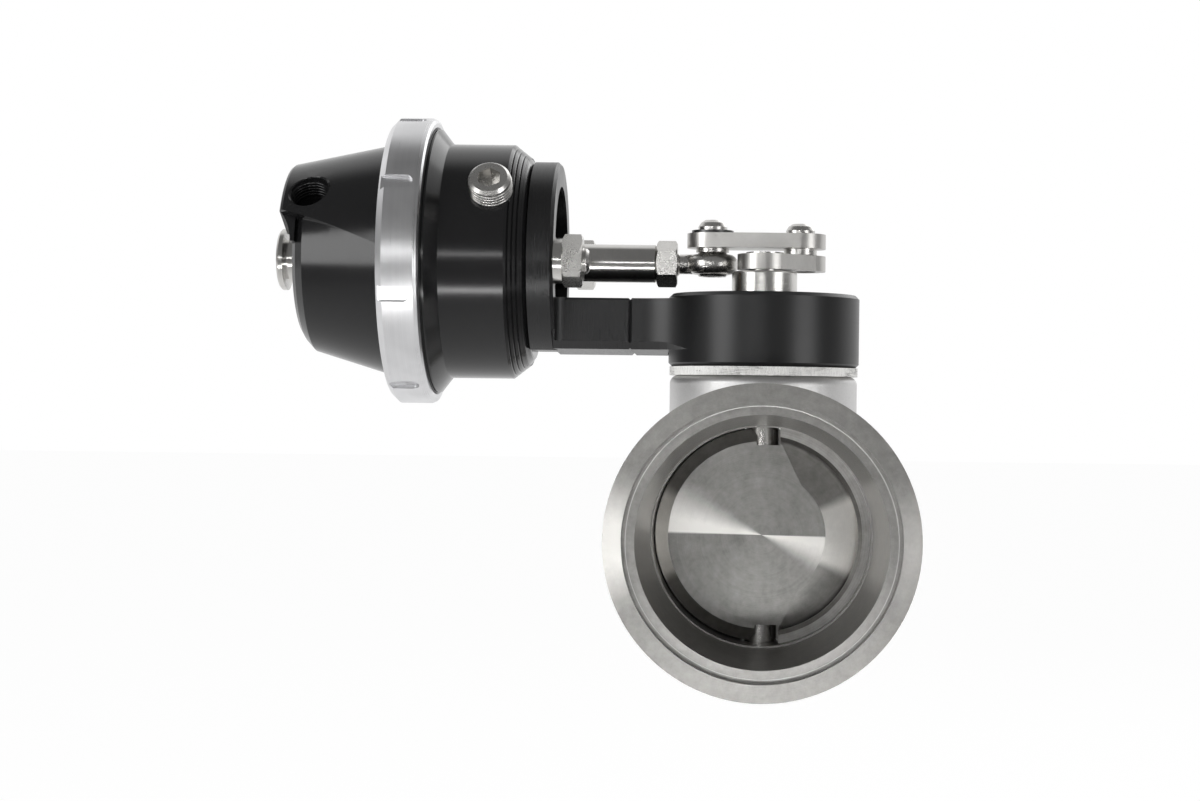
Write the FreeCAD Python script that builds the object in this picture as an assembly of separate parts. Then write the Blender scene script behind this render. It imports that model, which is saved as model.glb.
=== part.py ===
"""Butterfly wastegate for an exhaust pipe, with a diaphragm actuator on a side bracket.

Millimetres. The origin is the centre of the inlet flange face. The exhaust runs along +Y, the
valve shaft stands along +Z and carries the levers on top, and the actuator lies along -X.
The valve is modelled closed, which is where the actuator's spring holds it.
"""
import FreeCAD, Part

import math
import os

from FreeCAD import Vector

# Clearances
PRESS_GAP = 0.03        # between a pressed or screwed piece and its seat
RUN_GAP = 0.05          # between a shaft and its bush, on the radius
FREE_GAP = 0.30         # between faces that pass each other

# Valve body
BODY_LENGTH = 72.0      # from flange face to flange face
FLANGE_R = 36.7
FLANGE_RIM = 2.4        # width of the plain rim of the clamp flange
FLANGE_TAPER_DEG = 20.0
REGISTER_R = 32.4
REGISTER_DEPTH = 2.0
TUBE_R = 31.6
MOUTH_R = 29.4
THROAT_R = 26.7
SEAT_BORE_R = 26.3
SEAT_BORE_HALF = 12.0   # half length of the cylindrical bore that the disc turns in
SEAT_STEP_R = 23.4
SEAT_STEP_THICK = 3.2
SEAT_STEP_EDGE = 0.9    # chamfer on its inner edge
SEAT_STEP_START_X = 4.3  # the half ring seats stop here, clear of the shaft
BOSS_R = 22.9
BOSS_TOP = 38.6
BOSS_EDGE = 2.0         # radius of its rounded top edge
LOWER_BOSS_R = 9.5
LOWER_BOSS_END = -36.2

# Disc and shaft
DISC_R = 26.0
DISC_HALF = 4.8         # half thickness at the hub
DISC_RIM_HALF = 3.0
DISC_FLAT_R = 22.7
DISC_NOTCH = (-1.4, 4.4)  # the front notches that bare the shaft at the disc's top and foot, along X
DISC_NOTCH_START = 21.8
DISC_NOTCH_BACK = 1.0
RELIEF_R = 15.4         # where the milled relief on the leading wing begins
RELIEF_DEPTH = 2.1      # its depth at the rim
RELIEF_EDGE = ((4.4, 22.6), (9.6, 12.0))
SHAFT_R = 4.0
SHAFT_FLAT = 3.0        # half width over the flats that drive the crank
SHAFT_FOOT = -32.4
DISC_SCREW_R = 1.6
DISC_SCREW_HEAD_R = 3.0
DISC_SCREW_Z = 11.0
BUSH_R = 6.2
UPPER_BUSH = (27.5, BOSS_TOP - 0.2)
LOWER_BUSH = (-32.6, -27.5)
END_PLUG_R = 7.0

# Gasket, hub bracket and gland on top of the body
GASKET_R = 23.0
GASKET_THICK = 2.1
GASKET_TOP = BOSS_TOP + GASKET_THICK
ARM_TOP = GASKET_TOP + 16.3
HUB_R = 23.3
HUB_TOP = ARM_TOP + 1.4
HUB_EDGE = 0.9
HUB_SCREW_PITCH_R = 16.0
HUB_SCREW_R = 3.0
HUB_SCREW_HEAD_R = 5.0
HUB_SCREW_HEAD = 6.0
HUB_SCREW_SINK = 0.6
HUB_SCREW_REACH = 9.0   # length of thread in the body
GLAND_R = 8.0
GLAND_SPIGOT_R = 7.0
GLAND_TOP = HUB_TOP + 5.7
SEAL_R = 5.4
SEAL_HEIGHT = 1.6
SEAL_LEVELS = (GASKET_TOP + 6.8, GASKET_TOP + 10.8)

# Actuator axis
ACTUATOR_OFFSET = 7.0   # how far the actuator axis lies behind the valve shaft
ACTUATOR_Z = ARM_TOP + 9.2
REACH = -56.7           # where the can's right end lies, the actuator's place along the arm

# Bracket arm
ARM_FRONT = -8.0        # from the valve shaft towards the inlet
ARM_BACK = 16.0
ARM_BOTTOM = ARM_TOP - 13.4
ARM_FRONT_LIFT = 1.05   # the underside rises by this much towards the front
ARM_CHAMFER = 1.9
ARM_FLARE = 18.5        # radius where the arm runs into the hub
ARM_RUN_OUT = 6.0       # length over which the flare's lower chamfer ends
SEAM_X = -32.4
SEAM_EDGE = 0.45
PLATE_LEFT = REACH
PLATE_RIGHT = REACH + 6.3
PLATE_BOTTOM = ARM_TOP - 12.7
PLATE_R = 24.8
PLATE_HOLE_R = 18.8
PLATE_EDGE = 0.8
PLATE_FILLET = 2.2
ARM_SCREW_Z = ARM_TOP - 6.0
ARM_SCREW_SPREAD = 6.0
ARM_SCREW_R = 2.5
ARM_SCREW_HEAD_R = 4.2
ARM_SCREW_HEAD = 4.6
ARM_SCREW_END = -24.5
STUD_PITCH_R = 20.0
STUD_TILT_DEG = 2.1     # the front stud sits a little lower than the rear one
STUD_R = 3.0
STUD_EAR_R = 6.4
STUD_END = PLATE_RIGHT + 8.4
STUD_ROOT = REACH - 4.3
NUT_AF = 11.1
NUT_HEIGHT = 4.8
NUT_TURN_DEG = 9.0
WASHER_R = 5.5
WASHER_THICK = 2.1

# Actuator can
CAN_R = 28.9
CAN_WALL = 4.4
CAN_CHAMFER_START = REACH - 5.1
CAN_END_R = 24.9
CAN_END_ROUND = 1.4
CAN_GROOVES = 4
CAN_GROOVE_DEPTH = 0.3
CAN_FLANGE_R = 32.5
CAN_FLANGE_RIGHT = REACH - 23.3
CAN_FLANGE_LEFT = REACH - 26.3
CAN_FLANGE_GROOVE = 0.35
CAN_SHOULDER = REACH - 20.5
CAN_FLOOR = REACH - 4.8
CAN_STOP = REACH - 18.9  # end of the inner boss, which stops the backing plate
CAN_STOP_R = 10.5
CAN_RECESS_R = 16.0
CAN_RECESS_DEPTH = 2.2
CAN_PORT_DEG = 33.3     # this port and the cap's point to the front and up
CAN_PORT_X = REACH - 8.6
PLUG_R = 5.0
PLUG_PROUD = 4.4
PLUG_HEX_AF = 5.0
PLUG_HEX_DEPTH = 3.6

# Diaphragm stack and rod
DIAPHRAGM_THICK = 1.5
ROD_R = 4.7
ROD_RIGHT = -26.7
ROD_STUD_R = 3.0
ROD_THREAD = 14.0       # depth of the thread that takes the rod end
ROD_END_GRIP = 10.0     # how far the rod end is screwed in
BACKING_R = 17.0
BACKING_THICK = 2.5
STACK_SPIGOT = 2.0      # length of the spring's centring rings on the piston and the seat
PISTON_R = 19.0
PISTON_THICK = 3.0
PISTON_NUT_AF = 10.0
PISTON_NUT_HEIGHT = 4.0
GUIDE_R = 6.4
ROD_SEAL_R = 7.2
ROD_SEAL_THICK = 3.0

# Cap, collar and spring
COLLAR_R = 35.2
COLLAR_LEFT = REACH - 34.3
COLLAR_RIGHT = REACH - 24.2
COLLAR_LIP = 1.4
COLLAR_CHAMFER = 1.6    # on the left edge
COLLAR_ROUND = 1.2      # on the right edge
COLLAR_NOTCHES = 8
COLLAR_NOTCH_WIDTH = 3.6
COLLAR_NOTCH_DEPTH = 1.1
COLLAR_NOTCH_LAND = 1.9  # what the notch leaves at the right edge
COLLAR_NOTCH_PHASE_DEG = 28.7
CAP_BASE_R = 28.7
CAP_TAPER_DEG = 17.0
CAP_END = REACH - 56.7
CAP_FLANGE_R = 32.2
CAP_CORNER = 3.0
CAP_FLOOR = REACH - 52.3
CAP_THROAT = REACH - 47.3  # the cap's inside is a plain bore from its floor to here
NOSE_TAPER_DEG = 12.0   # the port's boss is a sector of a flatter cone
NOSE_END = REACH - 59.6
NOSE_BEVEL = 0.9
NOSE_CORE_R = 12.0      # its end stays clear of the adjuster
NOSE_LOW_DEG = (4.0, 27.7)  # lower edge at the collar and at the tip, from the front towards the top
NOSE_HIGH_DEG = (114.0, 92.0)
NOSE_WEB_R = 11.5       # hollow radius that carries the nose's sides down to the cap's end
NOSE_WEB_DROP = 7.6
CAP_PORT_DEG = 39.0
CAP_PORT_X = REACH - 52.7
CAP_PORT_R = 4.7
CAP_PORT_DEPTH = 7.2    # below the boss's skin
CAP_PORT_LEAD = 0.6
CAP_DRILL_R = 2.6
ADJUSTER_R = 7.6
ADJUSTER_NECK_R = 5.8
ADJUSTER_GROOVE_R = 4.9
ADJUSTER_GROOVE = 1.0
ADJUSTER_LEFT = REACH - 63.1
ADJUSTER_RIM = 1.5
ADJUSTER_RIGHT = REACH - 50.9
ADJUSTER_HEX_AF = 6.0
ADJUSTER_HEX_DEPTH = 6.0
SPRING_SEAT_R = 16.6
SPRING_SEAT_THICK = 2.0
SPRING_R = 13.4         # to the middle of the wire
SPRING_WIRE_R = 1.2
SPRING_TURNS = 4.0

# Linkage
ROD_END_X = -12.95
ROD_END_R = 6.4
ROD_END_THICK = 5.0
ROD_END_SHANK_R = 2.9
ROD_END_NECK_R = 2.45
ROD_END_ROUND = 2.3
BALL_R = 4.5
BALL_WIDTH = 6.0
JAM_NUT_AF = 10.0
JAM_NUT_HEIGHT = 5.1
PIN = (8.8, 6.0)        # crank pin from the shaft, along X and Y
LEVER_TIP_R = 6.3
CRANK_HUB_R = 6.7
CRANK_BOTTOM = GLAND_TOP + 0.5
CRANK_TOP = CRANK_BOTTOM + 3.8
LINK_BOTTOM = CRANK_TOP + 1.8
LINK_TOP = LINK_BOTTOM + 3.6
LINK_BOLT_R = 2.4
CRANK_PIN_PLAY = 1.5    # the linkage's open pivot is wide, because the joints keep constant ratios
LINK_HEAD_R = 3.6
LINK_HEAD = 2.6
LINK_WASHER_R = 5.2
LINK_WASHER_THICK = 0.8
SPACER_R = 4.1
BOLT_HEX_AF = 2.6
BOLT_HEX_DEPTH = 1.5
CRANK_SCREW_R = 1.6
CRANK_SCREW_HEAD_R = 4.6
CRANK_SCREW_HEAD = 0.5

X_AXIS = Vector(1, 0, 0)
Y_AXIS = Vector(0, 1, 0)
Z_AXIS = Vector(0, 0, 1)
SHAFT_Y = BODY_LENGTH / 2
ROD_Y = SHAFT_Y + ACTUATOR_OFFSET
NODES = {}


def cylinder(radius, start, end, axis, centre=(0.0, 0.0)):
    """A cylinder along one axis, from start to end, at the two other coordinates."""
    if axis is X_AXIS:
        base = Vector(start, centre[0], centre[1])
    elif axis is Y_AXIS:
        base = Vector(centre[0], start, centre[1])
    else:
        base = Vector(centre[0], centre[1], start)
    return Part.makeCylinder(radius, end - start, base, axis)


def turned(profile, axis, centre):
    """A solid of revolution from (distance along the axis, radius) points."""
    side = Z_AXIS if axis is not Z_AXIS else X_AXIS
    points = [centre + axis * along + side * radius for along, radius in profile]
    face = Part.Face(Part.makePolygon(points + [points[0]]))
    return face.revolve(centre, axis, 360)


def hexagon(across_flats, start, height, axis, centre, turn_deg=0.0):
    """A hexagonal prism whose axis runs through centre."""
    corner = across_flats / math.sqrt(3)
    side = Z_AXIS if axis is not Z_AXIS else X_AXIS
    other = axis.cross(side)
    points = []
    for step in range(6):
        angle = math.radians(60 * step + turn_deg)
        points.append(centre + axis * start + side * (corner * math.cos(angle)) + other * (corner * math.sin(angle)))
    return Part.Face(Part.makePolygon(points + [points[0]])).extrude(axis * height)


def nut(across_flats, start, height, axis, centre, bore, turn_deg=0.0):
    """A hexagonal nut with both ends turned down at the corners."""
    corner = across_flats / math.sqrt(3)
    drop = (corner - across_flats / 2) * 0.6
    body = hexagon(across_flats, start, height, axis, centre, turn_deg)
    envelope = turned(
        [
            (start, 0),
            (start, corner - drop * 1.6),
            (start + drop, corner + 0.02),
            (start + height - drop, corner + 0.02),
            (start + height, corner - drop * 1.6),
            (start + height, 0),
        ],
        axis,
        centre,
    )
    hole = turned([(start - 1, 0), (start - 1, bore), (start + height + 1, bore), (start + height + 1, 0)], axis, centre)
    return body.common(envelope).cut(hole)


def lever(first, first_r, second, second_r, bottom, top):
    """A flat lever: two round ends joined by their outer tangents."""
    dx, dy = second[0] - first[0], second[1] - first[1]
    length = math.hypot(dx, dy)
    heading = math.atan2(dy, dx)
    lean = math.acos((first_r - second_r) / length)
    corners = []
    for centre, radius, sign in (
        (first, first_r, 1),
        (second, second_r, 1),
        (second, second_r, -1),
        (first, first_r, -1),
    ):
        angle = heading + sign * lean
        corners.append(Vector(centre[0] + radius * math.cos(angle), centre[1] + radius * math.sin(angle), bottom))
    web = Part.Face(Part.makePolygon(corners + [corners[0]])).extrude(Z_AXIS * (top - bottom))
    ends = [cylinder(first_r, bottom, top, Z_AXIS, first), cylinder(second_r, bottom, top, Z_AXIS, second)]
    return web.multiFuse(ends).removeSplitter()


def outward(angle_deg):
    """Direction away from the actuator axis, turned from the front towards the top."""
    angle = math.radians(angle_deg)
    return Vector(0, -math.cos(angle), math.sin(angle))


def on_actuator(x=0.0):
    """A point on the actuator axis."""
    return Vector(x, ROD_Y, ACTUATOR_Z)


def bevel(shape, size, pick):
    """Chamfers the edges that pick accepts."""
    edges = [edge for edge in shape.Edges if pick(edge)]
    return shape.makeChamfer(size, edges)


def is_circle(edge, radius, axis, position):
    """True for a full or part circle of that radius in the plane across the axis at position."""
    curve = edge.Curve
    if not isinstance(curve, Part.Circle) or abs(curve.Radius - radius) > 1e-4:
        return False
    return abs(abs(curve.Axis.dot(axis)) - 1) < 1e-6 and abs(curve.Center.dot(axis) - position) < 1e-4


def keep(name, *solids):
    """Stores a node as a group of separate solids."""
    NODES[name] = Part.makeCompound([solid for shape in solids for solid in shape.Solids])


# Valve body

def half_seat(front):
    """The half ring that the disc's rim closes against, in front on one wing and behind on the other."""
    side = -1 if front else 1
    rim_r = math.sqrt(DISC_R**2 - DISC_RIM_HALF**2)
    slope = (DISC_HALF - DISC_RIM_HALF) / (rim_r - DISC_FLAT_R)
    outer_r = SEAT_BORE_R + 0.5
    near = DISC_RIM_HALF + FREE_GAP
    near_inside = near + (rim_r - SEAT_STEP_R) * slope + FREE_GAP * slope
    far = near_inside + SEAT_STEP_THICK
    profile = [
        (near, outer_r), (near, rim_r), (near_inside, SEAT_STEP_R), (far - SEAT_STEP_EDGE, SEAT_STEP_R),
        (far, SEAT_STEP_R + SEAT_STEP_EDGE), (far, outer_r),
    ]
    ring = turned([(side * along, radius) for along, radius in profile], Y_AXIS, Vector(0, SHAFT_Y, 0))
    span = 2 * SEAT_BORE_R
    corner = SEAT_STEP_START_X if front else -SEAT_STEP_START_X - span
    keep_side = Part.makeBox(span, span, 2 * span, Vector(corner, SHAFT_Y - SEAT_BORE_R, -span))
    return ring.common(keep_side)


def make_valve_body():
    drop = FLANGE_R - TUBE_R
    taper = drop * math.tan(math.radians(FLANGE_TAPER_DEG))
    skirt = FLANGE_RIM + taper
    end = BODY_LENGTH
    outside = turned(
        [
            (0, 0), (0, FLANGE_R), (FLANGE_RIM, FLANGE_R), (skirt, TUBE_R),
            (end - skirt, TUBE_R), (end - FLANGE_RIM, FLANGE_R), (end, FLANGE_R), (end, 0),
        ],
        Y_AXIS,
        Vector(0, 0, 0),
    )
    boss = cylinder(BOSS_R, 0, BOSS_TOP, Z_AXIS, (0, SHAFT_Y))
    boss = boss.makeFillet(BOSS_EDGE, [edge for edge in boss.Edges if is_circle(edge, BOSS_R, Z_AXIS, BOSS_TOP)])
    foot = cylinder(LOWER_BOSS_R, LOWER_BOSS_END, 0, Z_AXIS, (0, SHAFT_Y))
    near, far = SHAFT_Y - SEAT_BORE_HALF, SHAFT_Y + SEAT_BORE_HALF
    bore = turned(
        [
            (-1, 0), (-1, REGISTER_R), (REGISTER_DEPTH, REGISTER_R), (REGISTER_DEPTH, MOUTH_R),
            (near, THROAT_R), (near, SEAT_BORE_R), (far, SEAT_BORE_R), (far, THROAT_R),
            (end - REGISTER_DEPTH, MOUTH_R), (end - REGISTER_DEPTH, REGISTER_R), (end + 1, REGISTER_R), (end + 1, 0),
        ],
        Y_AXIS,
        Vector(0, 0, 0),
    )
    body = outside.multiFuse([boss, foot]).cut(bore)
    body = body.multiFuse([half_seat(True), half_seat(False)])
    shaft = (0, SHAFT_Y)
    seat = BUSH_R + PRESS_GAP
    holes = [
        cylinder(SHAFT_R + FREE_GAP, 0, BOSS_TOP + 1, Z_AXIS, shaft),
        cylinder(SHAFT_R + FREE_GAP, LOWER_BOSS_END - 1, 0, Z_AXIS, shaft),
        cylinder(seat, UPPER_BUSH[0], BOSS_TOP + 1, Z_AXIS, shaft),
        cylinder(seat, LOWER_BUSH[0], LOWER_BUSH[1], Z_AXIS, shaft),
        cylinder(END_PLUG_R + PRESS_GAP, LOWER_BOSS_END - 1, LOWER_BUSH[0], Z_AXIS, shaft),
    ]
    for x, y in hub_screw_places():
        holes.append(cylinder(HUB_SCREW_R + PRESS_GAP, BOSS_TOP - HUB_SCREW_REACH, BOSS_TOP + 1, Z_AXIS, (x, y)))
    for hole in holes:
        body = body.cut(hole)
    keep("valve_body", body.removeSplitter())
    bush = cylinder(BUSH_R, UPPER_BUSH[0], UPPER_BUSH[1], Z_AXIS, shaft)
    keep("upper_bush", bush.cut(cylinder(SHAFT_R + RUN_GAP, 0, BOSS_TOP, Z_AXIS, shaft)))
    bush = cylinder(BUSH_R, LOWER_BUSH[0], LOWER_BUSH[1], Z_AXIS, shaft)
    keep("lower_bush", bush.cut(cylinder(SHAFT_R + RUN_GAP, LOWER_BOSS_END, 0, Z_AXIS, shaft)))
    plug = cylinder(END_PLUG_R, LOWER_BOSS_END, LOWER_BUSH[0], Z_AXIS, shaft)
    socket = hexagon(END_PLUG_R * 0.8, LOWER_BOSS_END - 1, 3.0, Z_AXIS, Vector(0, SHAFT_Y, 0))
    keep("end_plug", plug.cut(socket))


def hub_screw_places():
    """The four bracket screws, on the diagonals round the shaft."""
    places = []
    for step in range(4):
        angle = math.radians(45 + 90 * step)
        places.append((HUB_SCREW_PITCH_R * math.cos(angle), SHAFT_Y + HUB_SCREW_PITCH_R * math.sin(angle)))
    return places


# Disc, shaft and their screws

def make_disc_and_shaft():
    centre = Vector(0, SHAFT_Y, 0)
    rim_r = math.sqrt(DISC_R**2 - DISC_RIM_HALF**2)
    outline = [(-DISC_HALF, 0), (-DISC_HALF, DISC_FLAT_R), (-DISC_RIM_HALF, rim_r)]
    for step in (-1, 0, 1):
        along = step * DISC_RIM_HALF * 0.6
        outline.append((along, math.sqrt(DISC_R**2 - along**2)))
    outline += [(DISC_RIM_HALF, rim_r), (DISC_HALF, DISC_FLAT_R), (DISC_HALF, 0)]
    disc = turned(outline, Y_AXIS, centre)
    reach = DISC_R + 1
    relief = turned(
        [(-DISC_HALF - 1, RELIEF_R), (-DISC_HALF, RELIEF_R), (-DISC_HALF + RELIEF_DEPTH, reach), (-DISC_HALF - 1, reach)],
        Y_AXIS,
        centre,
    )
    (near_x, near_z), (far_x, far_z) = RELIEF_EDGE
    wing = [
        (near_x, reach), (reach, reach), (reach, -reach), (near_x, -reach),
        (near_x, -near_z), (far_x, -far_z), (far_x, far_z), (near_x, near_z),
    ]
    points = [Vector(x, 0, z) for x, z in wing]
    wing_side = Part.Face(Part.makePolygon(points + [points[0]])).extrude(Y_AXIS * BODY_LENGTH)
    disc = disc.cut(relief.common(wing_side))
    shaft_hole = cylinder(SHAFT_R + PRESS_GAP, -reach, reach, Z_AXIS, (0, SHAFT_Y))
    disc = disc.cut(shaft_hole)
    notch_depth = DISC_HALF + 1 - DISC_NOTCH_BACK
    for foot in (DISC_NOTCH_START, -reach):
        notch = Part.makeBox(DISC_NOTCH[1] - DISC_NOTCH[0], notch_depth, reach - DISC_NOTCH_START, Vector(
            DISC_NOTCH[0], SHAFT_Y - DISC_HALF - 1, foot))
        disc = disc.cut(notch)
    shaft = cylinder(SHAFT_R, SHAFT_FOOT, CRANK_TOP, Z_AXIS, (0, SHAFT_Y))
    for side in (-1, 1):
        flat = Part.makeBox(4 * SHAFT_R, SHAFT_R, CRANK_TOP - CRANK_BOTTOM + 1, Vector(
            -2 * SHAFT_R, SHAFT_Y + side * SHAFT_FLAT + (0 if side > 0 else -SHAFT_R), CRANK_BOTTOM))
        shaft = shaft.cut(flat)
    shaft = shaft.cut(cylinder(CRANK_SCREW_R + PRESS_GAP, CRANK_TOP - 8, CRANK_TOP + 1, Z_AXIS, (0, SHAFT_Y)))
    screws = []
    head_depth = DISC_SCREW_HEAD_R - DISC_SCREW_R
    for level in (-DISC_SCREW_Z, DISC_SCREW_Z):
        at = Vector(0, SHAFT_Y, level)
        shank = [(-SHAFT_R * 0.6, 0), (-SHAFT_R * 0.6, DISC_SCREW_R), (DISC_HALF - head_depth, DISC_SCREW_R)]
        screw = turned(shank + [(DISC_HALF, DISC_SCREW_HEAD_R), (DISC_HALF, 0)], Y_AXIS, at)
        clear = PRESS_GAP
        shank_hole = [
            (-SHAFT_R * 0.6 - clear, 0), (-SHAFT_R * 0.6 - clear, DISC_SCREW_R + clear),
            (DISC_HALF - head_depth, DISC_SCREW_R + clear),
        ]
        hole = turned(
            shank_hole + [(DISC_HALF, DISC_SCREW_HEAD_R + clear), (DISC_HALF + 1, DISC_SCREW_HEAD_R + clear), (DISC_HALF + 1, 0)],
            Y_AXIS, at)
        disc, shaft = disc.cut(hole), shaft.cut(hole)
        socket = hexagon(2.0, DISC_HALF - 1.2, 2.0, Y_AXIS, at)
        screws.append(screw.cut(socket))
    keep("valve_disc", disc)
    keep("valve_shaft", shaft)
    keep("disc_screws", *screws)


# Gasket, hub bracket, gland

def make_hub():
    shaft = (0, SHAFT_Y)
    gasket = cylinder(GASKET_R, BOSS_TOP, GASKET_TOP, Z_AXIS, shaft)
    gasket = gasket.cut(cylinder(GLAND_SPIGOT_R + PRESS_GAP, BOSS_TOP - 1, GASKET_TOP + 1, Z_AXIS, shaft))
    hub = cylinder(HUB_R, GASKET_TOP, HUB_TOP, Z_AXIS, shaft)
    for level in (GASKET_TOP, HUB_TOP):
        hub = bevel(hub, HUB_EDGE, lambda edge: is_circle(edge, HUB_R, Z_AXIS, level))
    hub = hub.fuse(arm_stub()).removeSplitter()
    hub = hub.cut(cylinder(GLAND_SPIGOT_R + PRESS_GAP, GASKET_TOP - 1, HUB_TOP + 1, Z_AXIS, shaft))
    screws = []
    head_bottom = HUB_TOP - HUB_SCREW_SINK - HUB_SCREW_HEAD
    for place in hub_screw_places():
        gasket = gasket.cut(cylinder(HUB_SCREW_R + FREE_GAP, BOSS_TOP - 1, GASKET_TOP + 1, Z_AXIS, place))
        hub = hub.cut(cylinder(HUB_SCREW_R + FREE_GAP, GASKET_TOP - 1, HUB_TOP + 1, Z_AXIS, place))
        hub = hub.cut(cylinder(HUB_SCREW_HEAD_R + FREE_GAP, head_bottom, HUB_TOP + 1, Z_AXIS, place))
        shank = cylinder(HUB_SCREW_R, BOSS_TOP - HUB_SCREW_REACH, head_bottom, Z_AXIS, place)
        head = cylinder(HUB_SCREW_HEAD_R, head_bottom, head_bottom + HUB_SCREW_HEAD, Z_AXIS, place)
        socket = hexagon(HUB_SCREW_R * 5 / 3, head_bottom + HUB_SCREW_HEAD / 2, HUB_SCREW_HEAD, Z_AXIS, Vector(place[0], place[1], 0))
        screws.append(shank.fuse(head).removeSplitter().cut(socket))
    for place in arm_screw_places():
        hub = hub.cut(cylinder(ARM_SCREW_R + PRESS_GAP, SEAM_X - 1, ARM_SCREW_END + PRESS_GAP, X_AXIS, place))
    keep("heat_gasket", gasket)
    keep("hub_bracket", hub)
    keep("hub_screws", *screws)
    gland = cylinder(GLAND_SPIGOT_R, BOSS_TOP, HUB_TOP, Z_AXIS, shaft)
    gland = gland.fuse(cylinder(GLAND_R, HUB_TOP, GLAND_TOP, Z_AXIS, shaft)).removeSplitter()
    gland = bevel(gland, 0.4, lambda edge: is_circle(edge, GLAND_R, Z_AXIS, GLAND_TOP))
    gland = gland.cut(cylinder(SHAFT_R + RUN_GAP, BOSS_TOP - 1, GLAND_TOP + 1, Z_AXIS, shaft))
    seals = []
    for level in SEAL_LEVELS:
        gland = gland.cut(cylinder(SEAL_R + PRESS_GAP, level, level + SEAL_HEIGHT, Z_AXIS, shaft))
        ring = cylinder(SEAL_R, level, level + SEAL_HEIGHT, Z_AXIS, shaft)
        seals.append(ring.cut(cylinder(SHAFT_R + RUN_GAP, level - 1, level + SEAL_HEIGHT + 1, Z_AXIS, shaft)))
    keep("shaft_gland", gland)
    keep("shaft_seals", *seals)


def arm_bar(start, end):
    """A length of the arm, with its long front and back edges broken."""
    front, back = SHAFT_Y + ARM_FRONT, SHAFT_Y + ARM_BACK
    front_bottom = ARM_BOTTOM + ARM_FRONT_LIFT
    small = 0.5
    outline = [
        (front, front_bottom + ARM_CHAMFER), (front + ARM_CHAMFER, front_bottom), (back - ARM_CHAMFER, ARM_BOTTOM),
        (back, ARM_BOTTOM + ARM_CHAMFER), (back, ARM_TOP - small), (back - small, ARM_TOP),
        (front + small, ARM_TOP), (front, ARM_TOP - small),
    ]
    points = [Vector(start, y, z) for y, z in outline]
    return Part.Face(Part.makePolygon(points + [points[0]])).extrude(X_AXIS * (end - start))


def flare_centre(side_y, sign):
    """Centre of the arc that touches the arm's side and the round hub, and where it touches the hub."""
    offset = sign * (side_y - SHAFT_Y) + ARM_FLARE
    reach = HUB_R + ARM_FLARE
    centre = (-math.sqrt(reach**2 - offset**2), SHAFT_Y + sign * offset)
    touch = (centre[0] * HUB_R / reach, SHAFT_Y + sign * offset * HUB_R / reach)
    return centre, touch


def flare(side_y, sign, bottom):
    """The web that rounds the corner between the arm's side and the round hub."""
    centre, touch = flare_centre(side_y, sign)
    inner_x = -HUB_R * 0.5
    inner_y = SHAFT_Y + sign * GLAND_R * 0.5
    corners = [(centre[0], side_y), touch, (inner_x, touch[1]), (inner_x, inner_y), (centre[0], inner_y)]
    points = [Vector(x, y, bottom) for x, y in corners]
    web = Part.Face(Part.makePolygon(points + [points[0]])).extrude(Z_AXIS * (ARM_TOP - bottom))
    return web.cut(cylinder(ARM_FLARE, bottom - 1, ARM_TOP + 1, Z_AXIS, centre))


def flare_chamfer(side_y, sign, bottom):
    """A tool that carries the arm's lower chamfer along the flare and lets it run out at the hub."""
    centre, touch = flare_centre(side_y, sign)
    steps = 8
    sections = []
    for step in range(steps + 1):
        x = centre[0] + (touch[0] - centre[0]) * step / steps
        edge_y = centre[1] - sign * math.sqrt(ARM_FLARE**2 - (x - centre[0]) ** 2)
        depth = ARM_CHAMFER * min(1.0, (touch[0] - x) / ARM_RUN_OUT + 0.02)
        corners = [(edge_y + sign, bottom + depth + 1), (edge_y - sign * (depth + 1), bottom - 1), (edge_y + sign * 4, bottom - 1)]
        points = [Vector(x, y, z) for y, z in corners]
        sections.append(Part.makePolygon(points + [points[0]]))
    return Part.makeLoft(sections, True, True)


def arm_stub():
    """The hub's own length of arm, up to the seam."""
    stub = arm_bar(SEAM_X, -GLAND_R)
    front, back = SHAFT_Y + ARM_FRONT, SHAFT_Y + ARM_BACK
    for side_y, sign, bottom in ((front, -1, ARM_BOTTOM + ARM_FRONT_LIFT), (back, 1, ARM_BOTTOM)):
        web = flare(side_y, sign, bottom).cut(flare_chamfer(side_y, sign, bottom))
        stub = stub.fuse(web)
    return stub.cut(seam_groove())


def seam_groove():
    """The small V that the two chamfered arm ends make where they meet."""
    front, back = SHAFT_Y + ARM_FRONT - 1, SHAFT_Y + ARM_BACK + 1
    across = Y_AXIS * (back - front)
    tools = []
    for level, sign, along in (
        (ARM_TOP, 1, across),
        (ARM_BOTTOM + ARM_FRONT_LIFT, -1, across - Z_AXIS * ARM_FRONT_LIFT),
    ):
        points = [
            Vector(SEAM_X - SEAM_EDGE * 2, front, level + sign * SEAM_EDGE),
            Vector(SEAM_X + SEAM_EDGE * 2, front, level + sign * SEAM_EDGE),
            Vector(SEAM_X, front, level - sign * SEAM_EDGE),
        ]
        tools.append(Part.Face(Part.makePolygon(points + [points[0]])).extrude(along))
    for edge_y, sign in ((front + 1, -1), (back - 1, 1)):
        points = [
            Vector(SEAM_X - SEAM_EDGE * 2, edge_y + sign * SEAM_EDGE, ARM_BOTTOM - 1),
            Vector(SEAM_X + SEAM_EDGE * 2, edge_y + sign * SEAM_EDGE, ARM_BOTTOM - 1),
            Vector(SEAM_X, edge_y - sign * SEAM_EDGE, ARM_BOTTOM - 1),
        ]
        tools.append(Part.Face(Part.makePolygon(points + [points[0]])).extrude(Z_AXIS * (ARM_TOP - ARM_BOTTOM + 2)))
    return Part.makeCompound(tools)


def arm_screw_places():
    middle = SHAFT_Y + (ARM_FRONT + ARM_BACK) / 2
    return [(middle - ARM_SCREW_SPREAD, ARM_SCREW_Z), (middle + ARM_SCREW_SPREAD, ARM_SCREW_Z)]


# Actuator mount

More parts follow.
